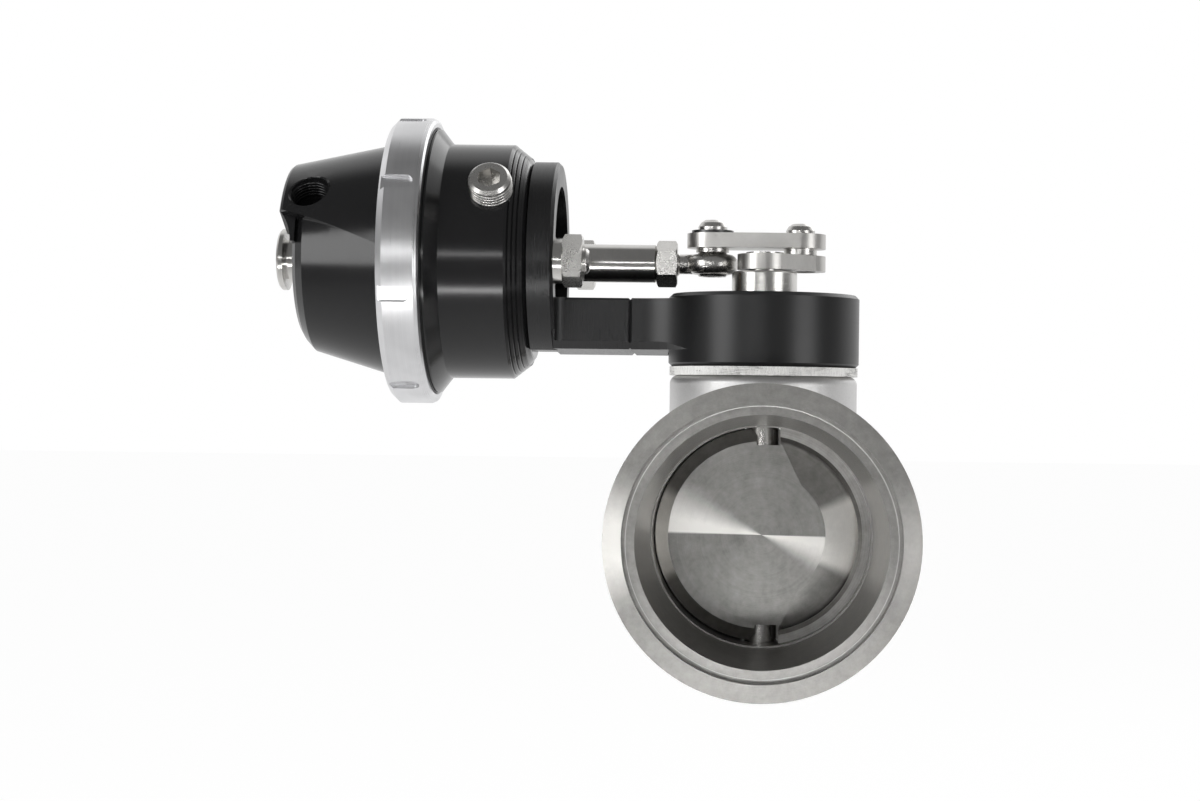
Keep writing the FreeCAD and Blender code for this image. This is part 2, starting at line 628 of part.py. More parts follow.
def stud_places():
    tilt = math.radians(STUD_TILT_DEG)
    across, rise = STUD_PITCH_R * math.cos(tilt), STUD_PITCH_R * math.sin(tilt)
    return [(ROD_Y - across, ACTUATOR_Z - rise), (ROD_Y + across, ACTUATOR_Z + rise)]


def make_actuator_mount():
    axis = (ROD_Y, ACTUATOR_Z)
    plate = cylinder(PLATE_R, PLATE_LEFT, PLATE_RIGHT, X_AXIS, axis)
    plate = bevel(plate, PLATE_EDGE, lambda edge: is_circle(edge, PLATE_R, X_AXIS, PLATE_RIGHT))
    plate = plate.cut(cylinder(PLATE_HOLE_R, PLATE_LEFT - 1, PLATE_RIGHT + 1, X_AXIS, axis))
    ears = []
    rim = cylinder(PLATE_R - PLATE_EDGE, PLATE_LEFT, PLATE_RIGHT, X_AXIS, axis)
    for place in stud_places():
        ears.append(cylinder(STUD_EAR_R, PLATE_LEFT, PLATE_RIGHT, X_AXIS, place).common(rim))
    plate = plate.multiFuse(ears)
    below = Part.makeBox(2 * PLATE_R, 4 * PLATE_R, 2 * PLATE_R, Vector(
        PLATE_LEFT - PLATE_R, ROD_Y - 2 * PLATE_R, PLATE_BOTTOM - 2 * PLATE_R))
    plate = plate.cut(below)
    bar = arm_bar(PLATE_RIGHT - 0.6, SEAM_X)
    mount = plate.multiFuse([bar, plate_gusset(-1), plate_gusset(1)])
    mount = mount.cut(cylinder(PLATE_HOLE_R, PLATE_LEFT - 1, PLATE_RIGHT, X_AXIS, axis).cut(Part.makeCompound(ears)))
    mount = mount.cut(seam_groove())
    screws = []
    for place in arm_screw_places():
        head_end = PLATE_RIGHT + ARM_SCREW_HEAD
        mount = mount.cut(cylinder(ARM_SCREW_R + PRESS_GAP, PLATE_LEFT - 1, SEAM_X + 1, X_AXIS, place))
        mount = mount.cut(cylinder(ARM_SCREW_HEAD_R + FREE_GAP, PLATE_LEFT - 1, head_end, X_AXIS, place))
        head = cylinder(ARM_SCREW_HEAD_R, PLATE_RIGHT, head_end, X_AXIS, place)
        shank = cylinder(ARM_SCREW_R, head_end, ARM_SCREW_END, X_AXIS, place)
        socket = hexagon(ARM_SCREW_R * 1.6, PLATE_RIGHT - 1, ARM_SCREW_HEAD / 2 + 1, X_AXIS, Vector(0, place[0], place[1]))
        screws.append(head.fuse(shank).removeSplitter().cut(socket))
    for place in stud_places():
        mount = mount.cut(cylinder(STUD_R + PRESS_GAP, PLATE_LEFT - 1, PLATE_RIGHT + 1, X_AXIS, place))
    keep("actuator_mount", mount.removeSplitter())
    keep("arm_screws", *screws)
    studs, washers, nuts = [], [], []
    for place in stud_places():
        at = Vector(0, place[0], place[1])
        stud = cylinder(STUD_R, STUD_ROOT, STUD_END, X_AXIS, place)
        studs.append(bevel(stud, 0.6, lambda edge: is_circle(edge, STUD_R, X_AXIS, STUD_END)))
        washer = cylinder(WASHER_R, PLATE_RIGHT, PLATE_RIGHT + WASHER_THICK, X_AXIS, place)
        washers.append(washer.cut(cylinder(STUD_R + PRESS_GAP, STUD_ROOT, STUD_END, X_AXIS, place)))
        nuts.append(nut(NUT_AF, PLATE_RIGHT + WASHER_THICK, NUT_HEIGHT, X_AXIS, at, STUD_R + PRESS_GAP, NUT_TURN_DEG))
    keep("mount_studs", *studs)
    keep("stud_washers", *washers)
    keep("stud_nuts", *nuts)


def plate_gusset(sign):
    """The rounded inner corner between the plate and the arm's side."""
    side_y = SHAFT_Y + (ARM_FRONT if sign < 0 else ARM_BACK)
    bottom = ARM_BOTTOM + ARM_CHAMFER + (ARM_FRONT_LIFT if sign < 0 else 0)
    corner = Part.makeBox(PLATE_FILLET + 0.5, PLATE_FILLET + 0.5, ARM_TOP - bottom, Vector(
        PLATE_RIGHT - 0.5, side_y - (PLATE_FILLET if sign < 0 else 0.5), bottom))
    scoop = cylinder(PLATE_FILLET, ARM_BOTTOM, ARM_TOP + 1, Z_AXIS, (PLATE_RIGHT + PLATE_FILLET, side_y + sign * PLATE_FILLET))
    return corner.cut(scoop)


# Actuator can and its plug

def make_can():
    inner_r = CAN_R - CAN_WALL
    start, end = CAN_CHAMFER_START, PLATE_LEFT
    land = CAN_FLANGE_RIGHT - CAN_FLANGE_GROOVE
    groove_r = CAN_FLANGE_R - 2 * CAN_FLANGE_GROOVE
    profile = [
        (CAN_FLANGE_LEFT, inner_r), (CAN_FLANGE_LEFT, CAN_FLANGE_R), (land - CAN_FLANGE_GROOVE, CAN_FLANGE_R),
        (land - CAN_FLANGE_GROOVE, groove_r), (land, groove_r), (land, CAN_FLANGE_R), (CAN_FLANGE_RIGHT, CAN_FLANGE_R),
        (CAN_SHOULDER, CAN_R), (start, CAN_R),
    ]
    fall = (CAN_R - CAN_END_R) / (end - start)
    pitch = (end - start) / (CAN_GROOVES + 1)
    for groove in range(CAN_GROOVES):
        along = start + pitch * (groove + 0.8)
        radius = CAN_R - fall * (along - start)
        width = pitch * 0.22
        profile += [
            (along - width, radius + fall * width),
            (along, radius - CAN_GROOVE_DEPTH),
            (along + width, radius - fall * width),
        ]
    corner = CAN_END_ROUND
    profile += [
        (end - corner, CAN_END_R + fall * corner), (end - corner * 0.45, CAN_END_R - corner * 0.15),
        (end - corner * 0.1, CAN_END_R - corner * 0.6), (end, CAN_END_R - corner),
        (end, CAN_RECESS_R), (end - CAN_RECESS_DEPTH, CAN_RECESS_R),
        (end - CAN_RECESS_DEPTH, ROD_R + FREE_GAP), (CAN_STOP, ROD_R + FREE_GAP), (CAN_STOP, CAN_STOP_R),
        (CAN_FLOOR, CAN_STOP_R), (CAN_FLOOR, inner_r),
    ]
    can = turned(profile, X_AXIS, on_actuator())
    seal_left = CAN_STOP
    guide_left = seal_left + ROD_SEAL_THICK + 1.0
    guide_right = end - CAN_RECESS_DEPTH
    axis = (ROD_Y, ACTUATOR_Z)
    can = can.cut(cylinder(GUIDE_R + PRESS_GAP, guide_left, guide_right + 1, X_AXIS, axis))
    can = can.cut(cylinder(ROD_SEAL_R + PRESS_GAP, seal_left - 1, seal_left + ROD_SEAL_THICK, X_AXIS, axis))
    for place in stud_places():
        can = can.cut(cylinder(STUD_R + PRESS_GAP, STUD_ROOT, end + 1, X_AXIS, place))
    out = outward(CAN_PORT_DEG)
    port = Part.makeCylinder(PLUG_R + PRESS_GAP, CAN_R, on_actuator(CAN_PORT_X) + out * (CAN_STOP_R + 4), out)
    can = can.cut(port)
    keep("actuator_can", can)
    bore = cylinder(ROD_R + RUN_GAP, CAN_STOP - 1, end + 1, X_AXIS, axis)
    keep("rod_bush", cylinder(GUIDE_R, guide_left, guide_right, X_AXIS, axis).cut(bore))
    keep("rod_seal", cylinder(ROD_SEAL_R, seal_left, seal_left + ROD_SEAL_THICK, X_AXIS, axis).cut(bore))
    root = on_actuator(CAN_PORT_X) + out * (CAN_R - CAN_WALL + 0.6)
    plug = Part.makeCylinder(PLUG_R, CAN_WALL - 0.6 + PLUG_PROUD, root, out)
    rim = [edge for edge in plug.Edges if isinstance(edge.Curve, Part.Circle)
           and (edge.Curve.Center - root).dot(out) > 1]
    plug = plug.makeChamfer(0.7, rim)
    socket = hexagon_along(PLUG_HEX_AF, out, on_actuator(CAN_PORT_X) + out * (CAN_R + PLUG_PROUD - PLUG_HEX_DEPTH), PLUG_HEX_DEPTH + 1)
    keep("port_plug", plug.cut(socket))


def hexagon_along(across_flats, out, base, height):
    """A hexagonal prism along a port's direction."""
    corner = across_flats / math.sqrt(3)
    side = X_AXIS
    other = out.cross(side)
    points = []
    for step in range(6):
        angle = math.radians(60 * step + 30)
        points.append(base + side * (corner * math.cos(angle)) + other * (corner * math.sin(angle)))
    return Part.Face(Part.makePolygon(points + [points[0]])).extrude(out * height)


# Cap, collar, adjuster, spring

def cap_radius(x):
    """Outer radius of the cap's cone."""
    return CAP_BASE_R - (COLLAR_LEFT - x) * math.tan(math.radians(CAP_TAPER_DEG))


def nose_radius(x):
    """Outer radius of the port boss's flatter cone."""
    return CAP_BASE_R - (COLLAR_LEFT - x) * math.tan(math.radians(NOSE_TAPER_DEG))


def wedge(low_deg, high_deg, left, right):
    """A sector round the actuator axis; each angle pair is for the right end and the left end."""
    far = 2.5 * CAP_BASE_R
    sections = []
    for end, x in ((0, right), (1, left)):
        low, high = low_deg[end], high_deg[end]
        points = [on_actuator(x)]
        for share in (0.0, 0.5, 1.0):
            points.append(on_actuator(x) + outward(low + (high - low) * share) * far)
        sections.append(Part.makePolygon(points + [points[0]]))
    return Part.makeLoft(sections, True, True)


def nose_web(angle_deg, sign):
    """The hollow side of the nose, from its end down to the cap's end face."""
    tip_r = nose_radius(NOSE_END) - NOSE_BEVEL
    spread = math.degrees(NOSE_WEB_DROP / tip_r)
    middle = angle_deg + sign * spread / 2
    band = sorted((angle_deg - sign * 1.0, angle_deg + sign * spread))
    ring = cylinder(tip_r - 0.4, NOSE_END, CAP_END + 1, X_AXIS, (ROD_Y, ACTUATOR_Z))
    ring = ring.cut(cylinder(NOSE_CORE_R, NOSE_END - 1, CAP_END + 2, X_AXIS, (ROD_Y, ACTUATOR_Z)))
    block = ring.common(wedge((band[0], band[0]), (band[1], band[1]), NOSE_END, CAP_END + 1))
    out = outward(middle)
    round_y = outward(middle + sign * 90)
    foot = on_actuator(CAP_END - NOSE_WEB_R) + round_y * (tip_r * math.sin(math.radians(spread / 2)))
    return block.cut(Part.makeCylinder(NOSE_WEB_R, 2 * CAP_BASE_R, foot, out))


def port_boss():
    end_r = nose_radius(NOSE_END)
    cone = turned(
        [
            (NOSE_END, NOSE_CORE_R), (NOSE_END, end_r - NOSE_BEVEL), (NOSE_END + NOSE_BEVEL * 0.3, end_r - NOSE_BEVEL * 0.3),
            (NOSE_END + NOSE_BEVEL, nose_radius(NOSE_END + NOSE_BEVEL)), (COLLAR_LEFT, CAP_BASE_R), (COLLAR_LEFT, 0),
            (CAP_END + 1, 0), (CAP_END + 1, NOSE_CORE_R),
        ],
        X_AXIS,
        on_actuator(),
    )
    boss = cone.common(wedge(NOSE_LOW_DEG, NOSE_HIGH_DEG, NOSE_END - 0.1, COLLAR_LEFT + 0.1))
    return [boss, nose_web(NOSE_LOW_DEG[1], -1), nose_web(NOSE_HIGH_DEG[1], 1)]


def make_cap():
    flange_right = CAN_FLANGE_LEFT - DIAPHRAGM_THICK
    flange_left = COLLAR_LEFT + COLLAR_LIP
    end_r = cap_radius(CAP_END)
    bore_r = SPRING_SEAT_R + FREE_GAP
    mouth_r = CAN_R - CAN_WALL
    corner_x = CAP_END + CAP_CORNER * 0.35
    outside = turned(
        [
            (CAP_END, 0), (CAP_END, end_r - CAP_CORNER), (corner_x, end_r - CAP_CORNER * 0.4),
            (CAP_END + CAP_CORNER, cap_radius(CAP_END + CAP_CORNER)), (COLLAR_LEFT, CAP_BASE_R),
            (flange_left, CAP_BASE_R), (flange_left, CAP_FLANGE_R), (flange_right, CAP_FLANGE_R), (flange_right, 0),
        ],
        X_AXIS,
        on_actuator(),
    )
    cap = outside.multiFuse(port_boss())
    cavity = turned(
        [
            (CAP_FLOOR, 0), (CAP_FLOOR, bore_r), (CAP_THROAT, bore_r), (flange_left, mouth_r),
            (flange_right + 1, mouth_r), (flange_right + 1, 0),
        ],
        X_AXIS,
        on_actuator(),
    )
    cap = cap.cut(cavity)
    out = outward(CAP_PORT_DEG)
    skin = on_actuator(CAP_PORT_X) + out * nose_radius(CAP_PORT_X)
    cap = cap.cut(Part.makeCylinder(CAP_PORT_R, CAP_PORT_DEPTH + 4, skin + out * 4, out * -1))
    taper = math.radians(NOSE_TAPER_DEG)
    square = out * math.cos(taper) - X_AXIS * math.sin(taper)
    rim_r = CAP_PORT_R + CAP_PORT_LEAD
    cap = cap.cut(Part.makeCone(rim_r + 1, CAP_PORT_R, 1 + CAP_PORT_LEAD, skin + square, square * -1))
    cap = cap.cut(Part.makeCylinder(CAP_DRILL_R, CAP_PORT_DEPTH + 4, skin, out * -1))
    cap = cap.cut(cylinder(ADJUSTER_NECK_R + PRESS_GAP, CAP_END - 4, CAP_FLOOR + 1, X_AXIS, (ROD_Y, ACTUATOR_Z)))
    keep("actuator_cap", cap.removeSplitter())


def make_collar():
    thread_r = CAN_FLANGE_R + PRESS_GAP
    lip_r = CAP_BASE_R + FREE_GAP
    lip_right = COLLAR_LEFT + COLLAR_LIP
    collar = turned(
        [
            (COLLAR_LEFT, lip_r), (COLLAR_LEFT, COLLAR_R - COLLAR_CHAMFER), (COLLAR_LEFT + COLLAR_CHAMFER, COLLAR_R),
            (COLLAR_RIGHT - COLLAR_ROUND, COLLAR_R), (COLLAR_RIGHT - COLLAR_ROUND * 0.3, COLLAR_R - COLLAR_ROUND * 0.3),
            (COLLAR_RIGHT, COLLAR_R - COLLAR_ROUND), (COLLAR_RIGHT, thread_r + 0.5), (COLLAR_RIGHT - 0.5, thread_r),
            (lip_right, thread_r), (lip_right, lip_r),
        ],
        X_AXIS,
        on_actuator(),
    )
    half = COLLAR_NOTCH_WIDTH / 2
    round_x = COLLAR_RIGHT - COLLAR_NOTCH_LAND - half
    slot = Part.makeBox(round_x - COLLAR_LEFT + 1, COLLAR_NOTCH_WIDTH, 4, Vector(
        COLLAR_LEFT - 1, ROD_Y - half, ACTUATOR_Z + COLLAR_R - COLLAR_NOTCH_DEPTH))
    tip = Part.makeCylinder(half, 4, Vector(round_x, ROD_Y, ACTUATOR_Z + COLLAR_R - COLLAR_NOTCH_DEPTH), Z_AXIS)
    slot = slot.fuse(tip).removeSplitter()
    for step in range(COLLAR_NOTCHES):
        cutter = slot.copy()
        up_from_front = COLLAR_NOTCH_PHASE_DEG + 360.0 / COLLAR_NOTCHES * step
        cutter.rotate(on_actuator(), X_AXIS, 90 - up_from_front)
        collar = collar.cut(cutter)
    keep("locking_collar", collar)


def make_spring_parts():
    axis = (ROD_Y, ACTUATOR_Z)
    at = on_actuator()
    rim_end = ADJUSTER_LEFT + ADJUSTER_RIM
    adjuster = turned(
        [
            (ADJUSTER_LEFT, 0), (ADJUSTER_LEFT, ADJUSTER_R - 0.5), (ADJUSTER_LEFT + 0.5, ADJUSTER_R), (rim_end, ADJUSTER_R),
            (rim_end, ADJUSTER_GROOVE_R), (rim_end + ADJUSTER_GROOVE, ADJUSTER_GROOVE_R),
            (rim_end + ADJUSTER_GROOVE, ADJUSTER_NECK_R), (ADJUSTER_RIGHT, ADJUSTER_NECK_R), (ADJUSTER_RIGHT, 0),
        ],
        X_AXIS,
        at,
    )
    adjuster = adjuster.cut(hexagon(ADJUSTER_HEX_AF, ADJUSTER_LEFT - 1, ADJUSTER_HEX_DEPTH + 1, X_AXIS, at))
    keep("spring_adjuster", adjuster)
    seat_right = ADJUSTER_RIGHT + SPRING_SEAT_THICK
    seat = cylinder(SPRING_SEAT_R, ADJUSTER_RIGHT, seat_right, X_AXIS, axis)
    guide_r = SPRING_R - SPRING_WIRE_R - FREE_GAP
    seat = seat.fuse(cylinder(guide_r, seat_right, seat_right + STACK_SPIGOT, X_AXIS, axis)).removeSplitter()
    keep("spring_seat", seat.cut(cylinder(guide_r - 3, seat_right, seat_right + STACK_SPIGOT + 1, X_AXIS, axis)))
    left = seat_right + SPRING_WIRE_R + RUN_GAP
    right = piston_left() - SPRING_WIRE_R - RUN_GAP
    helix = Part.makeHelix((right - left) / SPRING_TURNS, right - left, SPRING_R)
    start = Vector(SPRING_R, 0, 0)
    section = Part.Wire([Part.makeCircle(SPRING_WIRE_R, start, Vector(0, 1, 0))])
    coil = Part.Wire(helix).makePipeShell([section], True, True)
    coil.rotate(Vector(0, 0, 0), Y_AXIS, 90)
    coil.translate(on_actuator(left))
    keep("return_spring", coil)


# Diaphragm, piston and rod

def piston_left():
    return CAN_STOP - FREE_GAP - BACKING_THICK - DIAPHRAGM_THICK - PISTON_THICK


def make_diaphragm_stack():
    at = on_actuator()
    axis = (ROD_Y, ACTUATOR_Z)
    shoulder = CAN_STOP - FREE_GAP
    backing_left = shoulder - BACKING_THICK
    centre_left = backing_left - DIAPHRAGM_THICK
    left = piston_left()
    stud_hole = cylinder(ROD_STUD_R + PRESS_GAP, left - 10, shoulder + 1, X_AXIS, axis)
    keep("backing_plate", cylinder(BACKING_R, backing_left, shoulder, X_AXIS, axis).cut(stud_hole))
    rim_right, rim_left = CAN_FLANGE_LEFT, CAN_FLANGE_LEFT - DIAPHRAGM_THICK
    outer_web = CAN_R - CAN_WALL - 0.6
    inner_web = PISTON_R + 0.6
    diaphragm = turned(
        [
            (centre_left, 0), (centre_left, inner_web), (rim_left, outer_web - DIAPHRAGM_THICK), (rim_left, CAP_FLANGE_R),
            (rim_right, CAP_FLANGE_R), (rim_right, outer_web), (backing_left, inner_web + DIAPHRAGM_THICK), (backing_left, 0),
        ],
        X_AXIS,
        at,
    )
    keep("diaphragm", diaphragm.cut(stud_hole))
    guide_r = SPRING_R - SPRING_WIRE_R - FREE_GAP
    piston = cylinder(PISTON_R, left, centre_left, X_AXIS, axis)
    hub = cylinder(guide_r, left - STACK_SPIGOT, left, X_AXIS, axis)
    hub = hub.cut(cylinder(guide_r - 2, left - STACK_SPIGOT - 1, left, X_AXIS, axis))
    keep("piston", piston.fuse(hub).removeSplitter().cut(stud_hole))
    keep("piston_nut", nut(PISTON_NUT_AF, left - PISTON_NUT_HEIGHT, PISTON_NUT_HEIGHT, X_AXIS, at, ROD_STUD_R + PRESS_GAP))
    rod = turned(
        [
            (left - PISTON_NUT_HEIGHT - 0.8, 0), (left - PISTON_NUT_HEIGHT - 0.8, ROD_STUD_R), (shoulder, ROD_STUD_R),
            (shoulder, ROD_R), (ROD_RIGHT - 0.4, ROD_R), (ROD_RIGHT, ROD_R - 0.4), (ROD_RIGHT, 0),
        ],
        X_AXIS,
        at,
    )
    rod = rod.cut(cylinder(ROD_END_SHANK_R + PRESS_GAP, ROD_RIGHT - ROD_THREAD, ROD_RIGHT + 1, X_AXIS, axis))
    keep("actuator_rod", rod)


# Rod end, link and crank

def make_linkage():
    axis = (ROD_Y, ACTUATOR_Z)
    eye = (ROD_END_X, ROD_Y)
    pin = (PIN[0], SHAFT_Y + PIN[1])
    keep("jam_nut", nut(JAM_NUT_AF, ROD_RIGHT, JAM_NUT_HEIGHT, X_AXIS, on_actuator(), ROD_END_SHANK_R + PRESS_GAP, 0.0))
    low, high = ACTUATOR_Z - ROD_END_THICK / 2, ACTUATOR_Z + ROD_END_THICK / 2
    ring = cylinder(ROD_END_R, low, high, Z_AXIS, eye)
    ring = ring.makeFillet(ROD_END_ROUND, [edge for edge in ring.Edges if isinstance(edge.Curve, Part.Circle)])
    nut_right = ROD_RIGHT + JAM_NUT_HEIGHT
    shank = turned(
        [
            (ROD_RIGHT - ROD_END_GRIP, 0), (ROD_RIGHT - ROD_END_GRIP, ROD_END_SHANK_R), (nut_right + 0.2, ROD_END_SHANK_R),
            (nut_right + 0.6, ROD_END_NECK_R), (ROD_END_X - ROD_END_R * 0.6, ROD_END_NECK_R), (ROD_END_X - ROD_END_R * 0.6, 0),
        ],
        X_AXIS,
        on_actuator(),
    )
    web = [
        (nut_right + 0.8, 0.6), (eye[0] - 2.0, ROD_END_R - 0.6), (eye[0] - 2.0, 0.6 - ROD_END_R), (nut_right + 0.8, -0.6),
    ]
    points = [Vector(x, ROD_Y + y, ACTUATOR_Z - ROD_END_NECK_R * 0.8) for x, y in web]
    shoulder = Part.Face(Part.makePolygon(points + [points[0]])).extrude(Z_AXIS * (ROD_END_NECK_R * 1.6))
    socket = Part.makeSphere(BALL_R + RUN_GAP, Vector(eye[0], eye[1], ACTUATOR_Z))
    keep("rod_end", ring.multiFuse([shank, shoulder]).removeSplitter().cut(socket))
    bolt_hole = cylinder(LINK_BOLT_R + PRESS_GAP, low - 5, LINK_TOP + 1, Z_AXIS, eye)
    ball = Part.makeSphere(BALL_R, Vector(eye[0], eye[1], ACTUATOR_Z))
    ball_low, ball_high = ACTUATOR_Z - BALL_WIDTH / 2, ACTUATOR_Z + BALL_WIDTH / 2
    ball = ball.common(cylinder(BALL_R + 1, ball_low, ball_high, Z_AXIS, eye)).cut(bolt_hole)
    keep("rod_end_ball", ball)
    pin_hole = cylinder(LINK_BOLT_R + PRESS_GAP, LINK_BOTTOM - 5, LINK_TOP + 1, Z_AXIS, pin)
    link = lever(eye, LEVER_TIP_R, pin, LEVER_TIP_R, LINK_BOTTOM, LINK_TOP)
    keep("link_plate", link.cut(bolt_hole).cut(pin_hole))
    spacer_low = CRANK_TOP + FREE_GAP
    spacers = [
        cylinder(SPACER_R, ball_high, LINK_BOTTOM, Z_AXIS, eye).cut(bolt_hole),
        cylinder(SPACER_R, spacer_low, LINK_BOTTOM, Z_AXIS, pin).cut(pin_hole),
    ]
    keep("link_spacers", *spacers)
    head_low = LINK_TOP + LINK_WASHER_THICK
    washer = cylinder(LINK_WASHER_R, LINK_TOP, head_low, Z_AXIS, eye)
    keep("link_washer", washer.cut(cylinder(LINK_BOLT_R + PRESS_GAP, LINK_TOP - 1, head_low + 1, Z_AXIS, eye)))
    keep("rod_bolt", button_bolt(eye, ball_low + 0.3, head_low))
    keep("crank_bolt", button_bolt(pin, CRANK_BOTTOM + 0.3, LINK_TOP))
    shaft = (0, SHAFT_Y)
    crank = lever(shaft, CRANK_HUB_R, pin, LEVER_TIP_R, CRANK_BOTTOM, CRANK_TOP)
    hole = cylinder(SHAFT_R + PRESS_GAP, CRANK_BOTTOM - 1, CRANK_TOP + 1, Z_AXIS, shaft)
    across = SHAFT_FLAT + PRESS_GAP
    hole = hole.common(Part.makeBox(4 * SHAFT_R, 2 * across, CRANK_TOP, Vector(-2 * SHAFT_R, SHAFT_Y - across, CRANK_BOTTOM - 1)))
    crank = crank.cut(hole)
    crank = crank.cut(cylinder(LINK_BOLT_R + CRANK_PIN_PLAY, CRANK_BOTTOM - 1, CRANK_TOP + 1, Z_AXIS, pin))
    keep("crank_lever", crank)
    screw = cylinder(CRANK_SCREW_R, CRANK_TOP - 7.5, CRANK_TOP, Z_AXIS, shaft)
    head = cylinder(CRANK_SCREW_HEAD_R, CRANK_TOP, CRANK_TOP + CRANK_SCREW_HEAD, Z_AXIS, shaft)
    socket = hexagon(2.5, CRANK_TOP - 0.4, 3.0, Z_AXIS, Vector(0, SHAFT_Y, 0))
    keep("crank_screw", screw.fuse(head).removeSplitter().cut(socket))


def button_bolt(place, low, seat):
    """A button head bolt standing along Z with its head resting on seat."""
    domed = turned(
        [
            (low, 0), (low, LINK_BOLT_R), (seat, LINK_BOLT_R), (seat, LINK_HEAD_R), (seat + LINK_HEAD * 0.35, LINK_HEAD_R),
            (seat + LINK_HEAD * 0.75, LINK_HEAD_R * 0.82), (seat + LINK_HEAD, LINK_HEAD_R * 0.55), (seat + LINK_HEAD, 0),
        ],
        Z_AXIS,
        Vector(place[0], place[1], 0),
    )
    at = Vector(place[0], place[1], 0)
    return domed.cut(hexagon(BOLT_HEX_AF, seat + LINK_HEAD - BOLT_HEX_DEPTH, BOLT_HEX_DEPTH + 1, Z_AXIS, at))


def main():
    make_valve_body()
    make_disc_and_shaft()
    make_hub()
    make_actuator_mount()
    make_can()
    make_cap()
    make_collar()
    make_spring_parts()
    make_diaphragm_stack()
    make_linkage()
    os.makedirs("parts", exist_ok=True)
    for name, shape in NODES.items():
        state = "ok" if shape.isValid() else "NOT VALID"
        print(name, len(shape.Solids), round(shape.Volume, 1), state)
        shape.exportStep("parts/" + name + ".step")


main()
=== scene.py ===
import math

import bmesh
import bpy
from bpy.props import FloatProperty, FloatVectorProperty, IntProperty, PointerProperty
from mathutils import Matrix, Vector


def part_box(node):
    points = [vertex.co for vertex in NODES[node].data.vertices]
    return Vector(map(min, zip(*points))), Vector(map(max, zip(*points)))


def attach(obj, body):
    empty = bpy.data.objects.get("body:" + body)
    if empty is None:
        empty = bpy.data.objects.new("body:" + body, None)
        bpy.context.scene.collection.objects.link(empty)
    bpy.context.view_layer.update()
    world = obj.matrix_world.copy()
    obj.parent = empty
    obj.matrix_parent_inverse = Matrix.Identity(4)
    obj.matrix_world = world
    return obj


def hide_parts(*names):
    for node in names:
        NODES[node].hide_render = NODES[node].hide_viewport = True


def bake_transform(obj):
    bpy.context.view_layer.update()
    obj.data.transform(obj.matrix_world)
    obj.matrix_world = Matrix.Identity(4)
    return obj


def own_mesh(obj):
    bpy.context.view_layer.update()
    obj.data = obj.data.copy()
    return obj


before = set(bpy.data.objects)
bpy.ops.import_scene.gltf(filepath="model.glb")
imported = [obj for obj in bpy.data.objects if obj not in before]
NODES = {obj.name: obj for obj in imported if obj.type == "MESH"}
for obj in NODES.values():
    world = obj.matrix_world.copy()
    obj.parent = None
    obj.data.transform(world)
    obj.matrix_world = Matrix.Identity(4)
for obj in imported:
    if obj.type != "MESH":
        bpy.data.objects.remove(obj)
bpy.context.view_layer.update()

bl_info = {
    "name": "Turbo wastegate dressing",
    "version": (1, 0, 0),
    "blender": (4, 5, 0),
    "location": "View3D > Sidebar > Wastegate",
    "description": "Finishes and small turned details for a butterfly wastegate",
    "category": "Object",
}

MM = 0.001

# Points on the axes that the round pieces are turned about, in metres
SHAFT_AT = Vector((0.0, 0.036, 0.0))
ACTUATOR_AT = Vector((0.0, 0.043, 0.0662))
BORE_AT = Vector((0.0, 0.0, 0.0))


def outward(degrees):
    """Direction away from the actuator axis, turned from the front towards the top."""
    angle = math.radians(degrees)
    return Vector((0.0, -math.cos(angle), math.sin(angle)))


# Sizes of the part that its finishes follow, in millimetres
BODY_HALF = 36.0        # from the bore's middle to a flange's face
FLANGE_BACK = 27.0      # from the bore's middle to where the flange's turned cone starts
PIPE_R = 31.6
DISC_HUB_HALF = 4.8     # the disc's half thickness at its middle, where its wings are lower
GASKET_R = 23.0

# The threads that show, in millimetres along the actuator's axis and out from it
PLUG_OUT = outward(33.3)
PLUG_THREAD_X = -65.3
PLUG_THREAD_FOOT = 28.6
PLUG_THREAD_R = 4.86
PLUG_THREAD_LENGTH = 3.6
CAP_PORT_OUT = outward(39.0)
CAP_PORT_X = -109.4
CAP_PORT_FOOT = 17.9
CAP_PORT_THREAD_R = 4.72
CAP_PORT_THREAD_LENGTH = 5.2
STUD_PITCH_R = 20.0
STUD_TILT = math.radians(2.1)
STUD_THREAD_R = 2.9
STUD_THREAD_IN = 0.3    # how far the thread starts inside the nut
STUD_THREAD_SHORT = 0.5  # how far it ends before the stud's end
STUD_PITCH_SHARE = 0.7  # the ridges stand closer than the real pitch, so that more of them show

# The return spring and the diaphragm, in millimetres
SPRING_R = 13.4
SPRING_WIRE_R = 1.2
SPRING_TURNS = 4.0
SPRING_WIRE_SIDES = 12
SPRING_STEPS = 64
CLOTH_THICK = 1.5
CLOTH_HOLE_R = 3.1
WEB_START_R = 19.6      # where the rolling web leaves the piston
WEB_END_R = 23.9        # where it meets the held rim
WEB_STEPS = 24
CLOTH_SIDES = 96

# The stage
FLOOR_HALF = 6.0        # metres
PAPER_SEEN = 1.05       # how bright the camera sees the paper's own glow
PAPER_GLOW = 0.88       # the share of glow in the paper, for the camera and for polished faces
LAMPS_AIM = Vector((-0.03, 0.036, 0.03))
LAMPS = (
    # name, bearing and rise in degrees, metres away, width, height, share of the lamp level
    ("left", -50, 10, 1.00, 0.46, 0.50, 1.0),
    ("right", 50, -8, 1.00, 0.46, 0.50, 1.0),
    ("low", -8, -25.5, 0.390, 0.50, 0.030, 2.6),
    ("thin", -10, 5.8, 1.00, 0.40, 0.034, 2.2),
    ("rear", 150, 35, 0.90, 0.50, 0.50, 0.25),
)
FRAME_SHIFT_X = -0.125
FRAME_SHIFT_Y = -0.0021


# Settings

